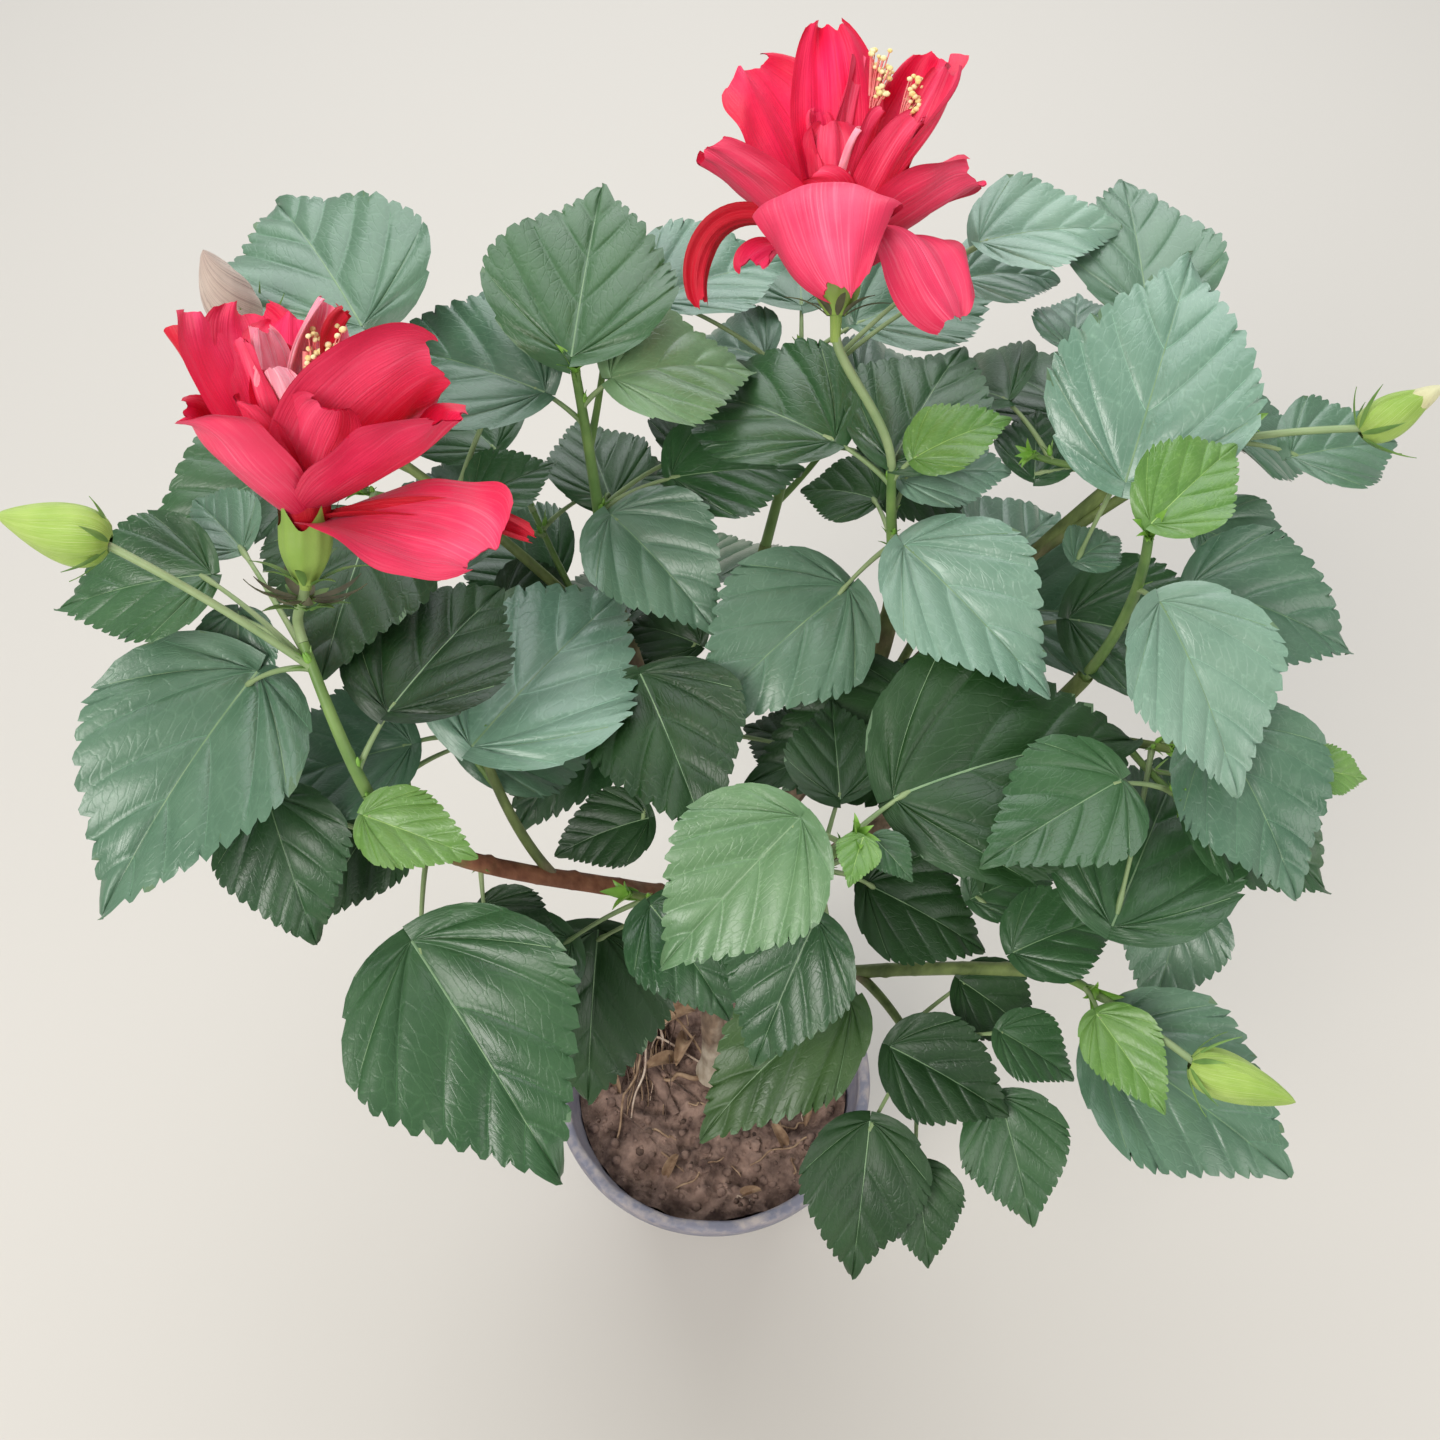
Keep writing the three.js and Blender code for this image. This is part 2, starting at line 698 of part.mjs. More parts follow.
// Side twigs by the seeded rule, each with its leaves
function growTwigs(shoot) {
  const { count, bearing, fan } = shoot.twigs;
  const { chance } = shoot;
  for (let index = 0; index < count; index += 1) {
    const on = TWIG_PLACES.least + (TWIG_PLACES.span * (index + chance())) / count;
    const turn = bearing + fan * (2 * ((index * GOLDEN + chance() * TWIG_FAN_JITTER) % 1) - 1);
    const length = within(TWIG_LENGTH, chance);
    const root = shoot.stem.getPoint(on);
    const end = root.clone().addScaledVector(compass(turn, TWIG_CLIMB), length);
    const bend = root.clone().lerp(end, 0.5).addScaledVector(UP, -TWIG_SAG * length);
    const twig = new THREE.QuadraticBezierCurve3(root, bend, end);
    const path = pathRecord(twig, TWIG_RADIUS, shoot.name, shoot.kin);
    if (pathIsClear(path)) {
      placedPaths.push(path);
      shoot.solids.push(limbSolid(twig, taper([TWIG_RADIUS, PETIOLE_RADIUS]), TWIG_SIDES, 2));
      growTwigLeaves(shoot, twig, turn);
    }
  }
}

function growTwigLeaves(shoot, twig, turn) {
  const { chance } = shoot;
  const middle = shoot.stem.getPoint(0.5);
  for (let index = 0; index < TWIG_LEAVES; index += 1) {
    const swing = index === 0 ? 0 : TWIG_LEAF_SWING * (index % 2 === 0 ? 1 : -1);
    const heading = turn + swing + TWIG_LEAF_JITTER * (chance() - 0.5);
    const petiole = within(TWIG_LEAF_PETIOLE, chance);
    const foot = twig.getPoint(1 - TWIG_LEAF_STEP * index)
      .addScaledVector(compass(heading, TWIG_LEAF_CLIMB), petiole);
    const length = within(TWIG_LEAF_BLADE, chance);
    const droop = within(TWIG_LEAF_DROOP, chance);
    const reach = foot.clone().addScaledVector(compass(heading), length).distanceTo(middle);
    if (reach < ROOM) {
      placeLeaf(shoot, twig, [...foot.toArray(), length, heading, droop]);
    }
  }
}

// Buds: a stalk from near the stem's tip and a pointed body
function budSwell(along) {
  const { least, from, to, lean, fullness } = BUD_SHAPE;
  return mix(least, 1, sin(PI * mix(from, to, along ** lean)) ** fullness);
}

function budSolids(shoot, bud) {
  const neck = point(bud.neck);
  const tip = point(bud.tip);
  const root = shoot.stem.getPoint(BUD_STALK_ROOT);
  const rise = BUD_STALK_ARCH * root.distanceTo(neck);
  const bend = root.clone().lerp(neck, 0.5).addScaledVector(UP, rise);
  const stalk = new THREE.QuadraticBezierCurve3(root, bend, neck.clone().lerp(tip, BUD_STALK_INSET));
  const body = new THREE.LineCurve3(neck, tip);
  placedPaths.push(
    pathRecord(stalk, BUD_STALK_RADIUS, shoot.name),
    pathRecord(body, bud.radius, shoot.name),
  );
  return [
    limbSolid(stalk, () => BUD_STALK_RADIUS, 4, 5),
    limbSolid(body, (along) => bud.radius * budSwell(along), BUD_SIDES, 6),
  ];
}

// Blooms: stalk, calyx, column and petals
function petalSheet(throat, axis, right, petal) {
  const [turn, start, lean, length, half, curl] = petal;
  const front = right.clone().cross(axis);
  const ahead = right.clone().multiplyScalar(cos(radians(turn)))
    .addScaledVector(front, sin(radians(turn)));
  return {
    foot: throat.clone().addScaledVector(axis, start - PETAL_SINK).addScaledVector(ahead, PETAL_OUT),
    length, half, droop: radians(lean - 90), curl: radians(curl), ahead, up: axis,
    roll: 0, fold: 0, cup: PETAL_CUP, thick: PETAL_THICK, rows: PETAL_ROWS, breadth: petalBreadth,
  };
}

function bloomFrame(bloom) {
  const axis = compass(bloom.bearing).multiplyScalar(cos(radians(bloom.climb)));
  axis.z = sin(radians(bloom.climb));
  const right = new THREE.Vector3(1, 0, 0).addScaledVector(axis, -axis.x).normalize();
  const base = point(bloom.calyx);
  return { axis, right, base, throat: base.clone().addScaledVector(axis, CALYX_LENGTH) };
}

function bloomSolid(bloom, shoot) {
  const { axis, right, base, throat } = bloomFrame(bloom);
  const end = shoot.stem.getPoint(1);
  const away = shoot.stem.getTangent(1);
  const root = end.clone().addScaledVector(away, CLEAR);
  const bend = root.clone().addScaledVector(away, root.distanceTo(base) * STALK_LEAD);
  const onAxis = (from, by) => from.clone().addScaledVector(axis, by);
  const stalk = new THREE.CubicBezierCurve3(root, bend, onAxis(base, -STALK_ENTRY), base);
  const calyx = new THREE.LineCurve3(onAxis(base, -CALYX_SINK), throat);
  const column = new THREE.LineCurve3(onAxis(throat, -COLUMN_SINK), onAxis(throat, COLUMN_LENGTH));
  const cup = (along) => (
    mix(CALYX_NECK_RADIUS, CALYX_RADIUS, sin((PI / 2) * Math.min(1, along * CALYX_SWELL)))
  );
  const solids = [
    limbSolid(stalk, () => STEM_TIP_RADIUS, STEM_SIDES, 6),
    limbSolid(calyx, cup, 8, 4),
    limbSolid(column, () => COLUMN_RADIUS, 4, 1),
  ];
  placedPaths.push(
    pathRecord(stalk, STEM_TIP_RADIUS, bloom.name),
    pathRecord(calyx, CALYX_RADIUS, bloom.name),
  );
  for (const petal of bloom.petals) {
    const sheet = petalSheet(throat, axis, right, petal);
    placedSheets.push(sheetRecord(sheet));
    solids.push(sheetSolid(sheet));
  }
  return fuse(solids);
}

// Pot: a turned shell with a rolled lip and drain holes round a solid middle
function turned(profile) {
  const outline = profile.map(([radius, height]) => new THREE.Vector2(radius, height));
  return solidOf(new THREE.LatheGeometry(outline, POT_SIDES).rotateX(PI / 2));
}

function potProfile() {
  const neck = POT_HEIGHT - LIP_HEIGHT;
  const wallTop = RIM_RADIUS - LIP_DEPTH;
  const lipInside = RIM_RADIUS - LIP_WIDTH;
  const foot = [[0, 0], [POT_FOOT_RADIUS - POT_EDGE, 0], [POT_FOOT_RADIUS, POT_EDGE], [wallTop, neck]];
  const lip = [
    [RIM_RADIUS - LIP_EDGE, neck], [RIM_RADIUS, neck + LIP_EDGE], [RIM_RADIUS, POT_HEIGHT - 2 * LIP_EDGE],
    [RIM_RADIUS - LIP_EDGE * 0.8, POT_HEIGHT - LIP_EDGE / 2], [(RIM_RADIUS + lipInside) / 2, POT_HEIGHT],
    [lipInside, POT_HEIGHT - LIP_EDGE],
  ];
  const inside = [
    [wallTop - POT_WALL, neck - POT_EDGE], [POT_FOOT_RADIUS - POT_WALL, POT_FLOOR], [0, POT_FLOOR],
  ];
  return [...foot, ...lip, ...inside];
}

function potSolid() {
  let pot = turned(potProfile());
  for (let hole = 0; hole < DRAIN_HOLES; hole += 1) {
    const turn = (2 * PI * hole) / DRAIN_HOLES;
    const drill = new THREE.CylinderGeometry(DRAIN_RADIUS, DRAIN_RADIUS, 4 * POT_FLOOR, 10).rotateX(PI / 2);
    drill.translate(DRAIN_CIRCLE_RADIUS * cos(turn), DRAIN_CIRCLE_RADIUS * sin(turn), 0);
    pot = pot.subtract(solidOf(drill));
  }
  return pot;
}

// Soil: fills the pot to a low mound that is flat round the trunk's foot
function insideRadius(height) {
  const share = (height - POT_FLOOR) / (POT_HEIGHT - LIP_HEIGHT - POT_EDGE - POT_FLOOR);
  return mix(POT_FOOT_RADIUS - POT_WALL, RIM_RADIUS - LIP_DEPTH - POT_WALL, share);
}

function soilSolid() {
  const bottom = POT_FLOOR + CLEAR;
  const edge = SOIL_TOP - SOIL_EDGE_DROP;
  return turned([
    [0, bottom], [insideRadius(bottom) - 2 * CLEAR, bottom], [insideRadius(edge) - 2 * CLEAR, edge],
    [insideRadius(edge) * SOIL_SHOULDER.share, SOIL_TOP - SOIL_SHOULDER.drop],
    [STEM_SEAT_RADIUS, SOIL_TOP], [0, SOIL_TOP],
  ]);
}

// Trunk and boughs
function trunkCurve() {
  const [x, y] = TRUNK.foot;
  const foot = new THREE.Vector3(x, y, SOIL_TOP + CLEAR);
  const bend = new THREE.Vector3(x, y, foot.z + TRUNK.bend);
  return new THREE.CubicBezierCurve3(foot, bend, point(TRUNK.turn), point(TRUNK.fork));
}

function trunkRadius(along) {
  return mix(TRUNK_FOOT_RADIUS, TRUNK_TOP_RADIUS, along) + ROOT_FLARE * exp(-ROOT_FLARE_FALL * along);
}

// The room that a limb keeps clear: the limb itself, longer and wider
function limbRoom(limb) {
  const { curve } = limb;
  const start = curve.v0.clone().addScaledVector(curve.getTangent(0), -CLEAR);
  const end = curve.v3.clone().addScaledVector(curve.getTangent(1), CLEAR);
  const longer = new THREE.CubicBezierCurve3(start, curve.v1, curve.v2, end);
  return limbSolid(longer, (along) => limb.radiusAt(along) + CLEAR, limb.sides, LIMB_STEPS);
}

const group = new THREE.Group();

function addPiece(name, solid, origin, look) {
  const mesh = mainBody(solid).translate(-origin.x, -origin.y, -origin.z).getMesh();
  const geometry = new THREE.BufferGeometry();
  geometry.setAttribute('position', new THREE.BufferAttribute(mesh.vertProperties, 3));
  geometry.setIndex(new THREE.BufferAttribute(mesh.triVerts, 1));
  geometry.computeVertexNormals();
  const piece = new THREE.Mesh(geometry, new THREE.MeshStandardMaterial({ metalness: 0, ...look }));
  piece.name = name;
  piece.position.copy(origin);
  group.add(piece);
}

const LOOKS = {
  pot: { color: 0x77788a, roughness: 0.55 },
  soil: { color: 0x6b4a3c, roughness: 0.95 },
  bark: { color: 0x8a6a50, roughness: 0.85 },
  leaf: { color: 0x3c6b45, roughness: 0.5 },
  bloom: { color: 0xd81f3f, roughness: 0.6 },
};

addPiece('pot', potSolid(), new THREE.Vector3(), LOOKS.pot);
addPiece('soil', soilSolid(), new THREE.Vector3(), LOOKS.soil);

const trunk = trunkCurve();
const limbs = [{ name: 'trunk', curve: trunk, radiusAt: trunkRadius, sides: TRUNK_SIDES }];
for (const bough of BOUGHS) {
  const [first, second] = bough.guides.map(point);
  const curve = new THREE.CubicBezierCurve3(trunk.getPoint(bough.on), first, second, point(bough.end));
  limbs.push({ name: bough.name, curve, radiusAt: taper(bough.radii), sides: BOUGH_SIDES });
}

// Each limb is cut clear of those before it, where they leave the trunk.
const rooms = [];
for (const limb of limbs) {
  const whole = limbSolid(limb.curve, limb.radiusAt, limb.sides, LIMB_STEPS);
  const cut = rooms.reduce((solid, room) => solid.subtract(room), whole);
  addPiece(limb.name, cut, limb.curve.getPoint(0), LOOKS.bark);
  rooms.push(limbRoom(limb));
  placedPaths.push(pathRecord(limb.curve, limb.radiusAt(0.5), limb.name));
}

// A shoot's stem. One that ends its bough goes on the same way; one from the
// bough's side turns away at once.
function stemCurve(shoot) {
  const { curve } = limbs.find((limb) => limb.name === shoot.bough);
  const root = curve.getPoint(shoot.on);
  const tip = point(shoot.tip);
  const follow = shoot.on === 1 ? 1 : SIDE_STEM_FOLLOW;
  const lead = tip.clone().sub(root).normalize().multiplyScalar(1 - follow)
    .addScaledVector(curve.getTangent(shoot.on), follow);
  const bend = root.clone().addScaledVector(lead, STEM_BEND * root.distanceTo(tip));
  return new THREE.QuadraticBezierCurve3(root, bend, tip);
}

// Shoots: first every stem, then the blooms and buds, the leaves that show,
// and the twigs by rule.
const shoots = SHOOTS.map((shoot) => {
  const stem = stemCurve(shoot);
  placedPaths.push(pathRecord(stem, STEM_RADIUS, shoot.name));
  const solids = [limbSolid(stem, taper([STEM_RADIUS, STEM_TIP_RADIUS]), STEM_SIDES, 6)];
  const blooms = BLOOMS.filter((bloom) => bloom.shoot === shoot.name);
  const kin = [shoot.bough, ...blooms.map((bloom) => bloom.name)];
  return { ...shoot, stem, solids, kin, chance: seeded(shoot.seed) };
});

for (const bloom of BLOOMS) {
  const shoot = shoots.find((one) => one.name === bloom.shoot);
  bloom.solid = bloomSolid(bloom, shoot);
}
for (const shoot of shoots) {
  for (const bud of shoot.buds ?? []) {
    shoot.solids.push(...budSolids(shoot, bud));
  }
}
for (const shoot of shoots) {
  for (const leaf of shoot.leaves) {
    placeLeaf(shoot, shoot.stem, leaf);
  }
}
for (const shoot of shoots) {
  if (shoot.twigs) {
    growTwigs(shoot);
  }
}

for (const shoot of shoots) {
  const cut = rooms.reduce((solid, room) => solid.subtract(room), fuse(shoot.solids));
  addPiece(shoot.name, cut, shoot.stem.getPoint(0), LOOKS.leaf);
}
for (const bloom of BLOOMS) {
  addPiece(bloom.name, bloom.solid, point(bloom.calyx), LOOKS.bloom);
}

export default group;
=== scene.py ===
"""Potted hibiscus shrub: its leaves, blooms, bark, soil and pot, grown over the
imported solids. Lengths are millimetres until a mesh is made. +Z is up and the
viewer looks along +Y from above."""
import math
from types import SimpleNamespace

import bpy
import numpy as np
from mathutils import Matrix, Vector


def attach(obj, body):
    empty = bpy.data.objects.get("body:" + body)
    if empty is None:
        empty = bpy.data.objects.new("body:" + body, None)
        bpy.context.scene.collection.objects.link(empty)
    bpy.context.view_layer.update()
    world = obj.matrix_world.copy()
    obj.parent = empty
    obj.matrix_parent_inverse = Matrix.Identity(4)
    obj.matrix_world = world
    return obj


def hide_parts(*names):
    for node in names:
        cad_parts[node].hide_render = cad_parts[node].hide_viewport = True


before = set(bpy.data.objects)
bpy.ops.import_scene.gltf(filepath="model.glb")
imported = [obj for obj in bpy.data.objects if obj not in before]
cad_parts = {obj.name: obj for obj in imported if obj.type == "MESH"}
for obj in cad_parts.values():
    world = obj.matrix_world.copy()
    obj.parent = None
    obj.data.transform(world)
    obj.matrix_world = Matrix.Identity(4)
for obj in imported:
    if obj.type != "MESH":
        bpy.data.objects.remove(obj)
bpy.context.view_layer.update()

MM_PER_METRE = 1000
OWN_MIDDLE = 0.5

# Pot and soil, as in the solids
POT_HEIGHT = 120
RIM_RADIUS = 85
LIP_HEIGHT = 9
LIP_DEPTH = 5
POT_FOOT_RADIUS = 50
POT_WALL = 2.6
POT_FLOOR = 4
DRAIN_HOLES = 6
DRAIN_RADIUS = 4
DRAIN_CIRCLE_RADIUS = 34
LIP_WIDTH = 6.4
POT_EDGE = 2
SOIL_TOP = 100
CLEAR = 0.3

# Wood, as in the solids
TRUNK = ([1, 8, SOIL_TOP + CLEAR], [1, 8, SOIL_TOP + CLEAR + 60], [-1, 7, 240], [-5, 16, 299])
TRUNK_FOOT_RADIUS = 6.4
TRUNK_TOP_RADIUS = 5
ROOT_FLARE = 4
ROOT_FLARE_FALL = 14
STEM_RADIUS = 2.4
STEM_TIP_RADIUS = 1.7
STEM_BEND = 0.45
SIDE_STEM_FOLLOW = 0.3
TWIG_RADIUS = 1.6
PETIOLE_RADIUS = 1.2
PETIOLE_TIP_RADIUS = 0.7
PETIOLE_RISE = 14
PETIOLE_ARCH = 0.16
PETIOLE_INSET = 0.06
STEM_PLACES = 20

# Leaves, as in the solids
LEAF_WIDTH = (0.39, 0.06)
LEAF_ROLL = (-6, 12)
LEAF_TO_LIGHT = 13
LEAF_CURL = (12, 26)
LEAF_FOLD = (7, 9)
LEAF_ROWS = (0.2, 0.62)
LEAF_GAP = 2.2
LIMB_GAP = 1.6
SHEET_REACH = 0.62
PATH_STEP = 4
PATH_GAP = 0.9
FREE_ROOT_POINTS = 3
POT_GAP = 8
GOLDEN = 0.618034
TWIG_PLACES = (0.2, 0.75)
TWIG_FAN_JITTER = 0.3
TWIG_LENGTH = (26, 26)
TWIG_CLIMB = 0.45
TWIG_SAG = 0.1
TWIG_LEAVES = 3
TWIG_LEAF_BLADE = (54, 34)
TWIG_LEAF_PETIOLE = (16, 16)
TWIG_LEAF_DROOP = (4, 30)
TWIG_LEAF_SWING = 60
TWIG_LEAF_JITTER = 30
TWIG_LEAF_CLIMB = 0.5
TWIG_LEAF_STEP = 0.3
ROOM = 150
LEAF_SEEDS = 1e6
LEAF_TRIES = (
    (0, 0, 0), (-7, 0, 3), (7, 0, -3), (-12, 8, 6), (12, -8, -6), (0, 12, 8),
    (0, -12, -8), (-20, 0, 10), (20, 0, -8), (-8, 20, 12), (8, -20, -12),
)

# Blooms and buds, as in the solids
PETAL_ROWS = (0.45, 0.88)
PETAL_CLAW = 0.14
PETAL_WIDEST = 0.66
PETAL_ROUNDNESS = 2.4
PETAL_CUP = 0.28
PETAL_SINK = 3
PETAL_OUT = 1.5
CALYX_LENGTH = 18
CALYX_RADIUS = 8
CALYX_SINK = 2
COLUMN_LENGTH = 40
STALK_LEAD = 0.4
STALK_ENTRY = 12
BUD_STALK_RADIUS = 1.4
BUD_STALK_ROOT = 0.9
BUD_STALK_ARCH = 0.08
BUD_STALK_INSET = 0.1

# Bough: name, share of the trunk, two guides and end, radii at root and end
BOUGHS = (
    ("bough_left", 0.9, [-41, 12, 308], [-108, -19, 360], [-114, -31, 432], (4.4, 3)),
    ("bough_back_left", 1, [-13, 54, 343], [-40, 84, 380], [-43, 96, 435], (4, 3)),
    ("bough_centre", 0.97, [37, 38, 336], [81, 67, 371], [71, 80, 439], (4.4, 3.4)),
    ("bough_back_right", 0.84, [46, 67, 327], [118, 115, 373], [158, 110, 446], (4, 2.8)),
    ("bough_right", 0.74, [48, 34, 292], [140, 65, 332], [153, 60, 389], (4.4, 3.4)),
    ("bough_front_right", 0.5, [35, -8, 255], [92, -21, 292], [131, -43, 330], (3.4, 2.6)),
    ("bough_front", 0.62, [8, -5, 297], [35, -21, 334], [39, -31, 384], (3.2, 2.4)),
    ("bough_back", 0.68, [-2, 54, 284], [13, 115, 343], [24, 131, 391], (3.4, 2.6)),
)

# A shoot stands on its bough at a share of the bough's length. A leaf is its
# blade's foot, the blade's length, heading and droop, and its tone: Dark (partly painted shade),
# Mid, Grey (painted sky sheen), Pale (painted sky reflection), Light (partly a painted highlight),
# Olive or Young. A bud is its neck, tip, radius and kind. A shoot's twigs are their count, bearing and fan.
SHOOTS = (
    dict(name="foliage_left", bough="bough_left", on=1, tip=[-132, -1, 485], seed=11, leaves=(
        (-156, 8, 458, 97, -120, 20, "G"), (-107, -13, 463, 74, 65, 10, "D"),
        (-115, -41, 443, 41, -20, 12, "Y"), (-168, 28, 486, 59, -177, 15, "M"),
        (-160, 40, 488, 38, 130, 0, "G"), (-164, 28, 470, 37, -90, 35, "G"),
    ), buds=(([-188, 14, 516], [-220, 16, 527], 9, "green"),)),
    dict(name="foliage_left_low", bough="bough_left", on=0.62, tip=[-121, -14, 378], seed=12, leaves=(
        (-107, -58, 385, 101, -53, 25, "M"), (-162, -11, 408, 59, -68, 40, "M"),
        (-123, 14, 374, 64, -128, 30, "D"), (-90, -28, 354, 40, -30, 20, "D"),
    ), twigs=(2, 70, 50)),
    dict(name="foliage_left_inner", bough="bough_left", on=0.45, tip=[-86, 10, 420], seed=13, leaves=(
        (-86, 0, 424, 99, 58, 5, "P"), (-83, 78, 420, 46, 34, 10, "D"),
    ), twigs=(2, 100, 40)),
    dict(name="foliage_back_left", bough="bough_back_left", on=1, tip=[-48, 107, 507], seed=14, leaves=(
        (-49, 108, 512, 81, 84, -12, "M"), (-35, 104, 512, 63, 36, 8, "L"),
        (-60, 108, 496, 77, 152, 5, "G"), (-15, 107, 454, 59, 20, 15, "M"),
        (-40, 114, 435, 55, 107, 5, "M"), (-8, 132, 440, 48, 86, 5, "D"),
        (-38, 92, 449, 63, -45, 22, "G"),
    ), twigs=(1, 100, 30)),
    dict(name="foliage_far_left", bough="bough_back_left", on=0.6, tip=[-136, 104, 486], seed=15, leaves=(
        (-123, 115, 520, 86, 121, 0, "G"), (-67, 156, 486, 39, 143, 5, "P"),
        (-88, 86, 463, 37, 39, 5, "M"),
    ), buds=(([-162, 109, 520], [-167, 106, 564], 7, "spent"),), twigs=(3, 165, 60)),
    dict(name="foliage_centre", bough="bough_centre", on=1, tip=[67, 86, 478], seed=16, leaves=(
        (46, 96, 489, 81, 151, 0, "M"), (67, 88, 483, 72, 63, -8, "M"),
        (74, 84, 483, 40, 19, 0, "Y"), (72, 95, 465, 46, 12, 8, "P"),
        (67, 109, 440, 37, 150, 20, "D"), (71, 61, 465, 77, -43, 22, "P"),
        (53, 67, 435, 78, -141, 20, "G"),
    )),
    dict(name="foliage_back", bough="bough_back", on=1, tip=[41, 157, 465], seed=17, leaves=(
        (-23, 157, 498, 68, 35, 8, "P"), (102, 167, 518, 59, 14, 5, "P"),
        (98, 169, 500, 46, 17, 15, "P"),
    ), twigs=(3, 90, 80)),
    dict(name="foliage_back_right", bough="bough_back_right", on=1, tip=[157, 126, 496], seed=18, leaves=(
        (142, 147, 486, 42, 79, 0, "P"), (166, 145, 504, 74, 90, -15, "G"),
        (151, 78, 477, 94, 70, -18, "P"), (125, 102, 458, 39, 82, 0, "M"),
        (139, 72, 444, 28, 40, 10, "G"), (184, 118, 507, 22, 78, -20, "Y"),
    ), twigs=(3, -130, 35)),
    dict(name="foliage_far_right", bough="bough_back_right", on=0.8, tip=[197, 104, 483], seed=19, leaves=(
        (215, 93, 478, 52, 20, 10, "G"), (196, 102, 431, 52, -23, 20, "G"),
    ), buds=(([235, 91, 492], [262, 99, 507], 8, "cream"),), twigs=(2, 120, 65)),
    dict(name="foliage_right", bough="bough_right", on=1, tip=[149, 39, 494], seed=20, leaves=(
        (148, 38, 500, 48, 41, -5, "Y"), (159, 34, 465, 77, -60, 38, "P"),
        (181, 60, 443, 70, -13, 18, "G"),
    )),
    dict(name="foliage_right_low", bough="bough_right", on=0.72, tip=[173, 8, 411], seed=21, leaves=(
        (186, 12, 421, 72, -60, 32, "G"), (148, -49, 385, 91, 70, -8, "M"),
        (192, -12, 352, 55, -86, 34, "G"), (223, 3, 405, 28, 0, 20, "Y"),
    ), twigs=(2, -120, 65)),
    dict(name="foliage_front_right", bough="bough_front_right", on=1, tip=[145, -60, 348], seed=22, leaves=(
        (147, -75, 341, 88, -33, 17, "G"), (143, -74, 358, 42, -62, 12, "Y"),
        (118, -43, 340, 48, 12, 12, "M"), (104, -19, 345, 44, 25, 12, "M"),
    ), buds=(([172, -95, 363], [208, -108, 359], 8, "green"),)),
    dict(name="foliage_front_low", bough="bough_front_right", on=0.5, tip=[89, -60, 281], seed=23, leaves=(
        (73, -63, 302, 57, -25, 18, "D"), (119, -77, 283, 55, -73, 35, "M"),
        (65, -87, 283, 66, -98, 38, "D"), (84, -99, 265, 42, -81, 30, "D"),
        (116, -60, 311, 37, -28, 20, "M"), (104, -34, 306, 42, -30, 18, "D"),
    )),
    dict(name="foliage_front", bough="bough_front", on=1, tip=[50, -42, 432], seed=24, leaves=(
        (31, -40, 440, 70, -140, 28, "L"), (65, -23, 426, 103, 20, 8, "D"),
        (39, -49, 385, 61, -119, 40, "M"), (56, -51, 320, 83, -147, 18, "O"),
        (48, -13, 409, 49, 91, 5, "D"), (52, -46, 437, 20, -110, 0, "Y"),
        (56, -43, 432, 20, -46, 20, "M"), (62, -16, 352, 58, -20, 25, "D"),
        (70, 5, 340, 50, -60, 20, "D"),
    )),
    dict(name="foliage_front_left", bough="bough_front", on=0.4, tip=[-31, -25, 360], seed=25, leaves=(
        (-22, -38, 375, 53, -50, 28, "M"), (-46, -22, 325, 75, -95, 42, "D"),
        (-55, -34, 343, 55, -150, 30, "M"),
    )),
    dict(name="foliage_middle", bough="bough_back_left", on=0.3, tip=[-22, 30, 409], seed=26, leaves=(
        (-26, 35, 412, 72, -68, 34, "D"), (-24, 3, 371, 42, -166, 20, "D"),
        (47, 21, 385, 46, 141, 20, "D"), (-4, 66, 398, 37, 151, 20, "D"),
    )),
    dict(name="foliage_back_low", bough="bough_back", on=0.5, tip=[-42, 117, 360], seed=27, leaves=(),
         twigs=(4, 130, 80)),
    dict(name="foliage_right_back_low", bough="bough_back_right", on=0.45, tip=[109, 139, 371], seed=28,
         leaves=(), twigs=(4, -30, 40)),
)

# A petal is its turn, start on the column, lean, length, half width and curl
BLOOMS = (
    dict(name="bloom_left", shoot="foliage_left", calyx=[-124, 0, 516], bearing=80, climb=55, petals=(
        (150, 2, 58, 61, 28, 55), (20, 2, 88, 74, 25, 60), (200, 4, 44, 77, 12, 20),
        (240, 6, 22, 72, 25, 15), (45, 6, 30, 72, 31, 15), (100, 4, 34, 53, 25, 30),
        (275, 7, 30, 68, 25, 30), (320, 7, 38, 66, 25, 35), (185, 13, 18, 53, 18, 10),
        (265, 22, 6, 48, 15, 10), (340, 17, 16, 52, 18, 15),
    )),
    dict(name="bloom_right", shoot="foliage_centre", calyx=[44, 104, 527], bearing=88, climb=46, petals=(
        (95, 2, 38, 55, 29, 62), (178, 8, 88, 79, 16, 150), (14, 8, 84, 77, 22, 150),
        (178, 13, 46, 59, 13, 20), (215, 13, 24, 74, 25, 10), (255, 18, 8, 79, 20, 10),
        (30, 13, 32, 64, 22, 15), (345, 20, 32, 66, 18, 10), (310, 9, 34, 64, 25, 30),
        (245, 7, 38, 64, 25, 35), (330, 28, 14, 39, 14, 10),
    )),
)

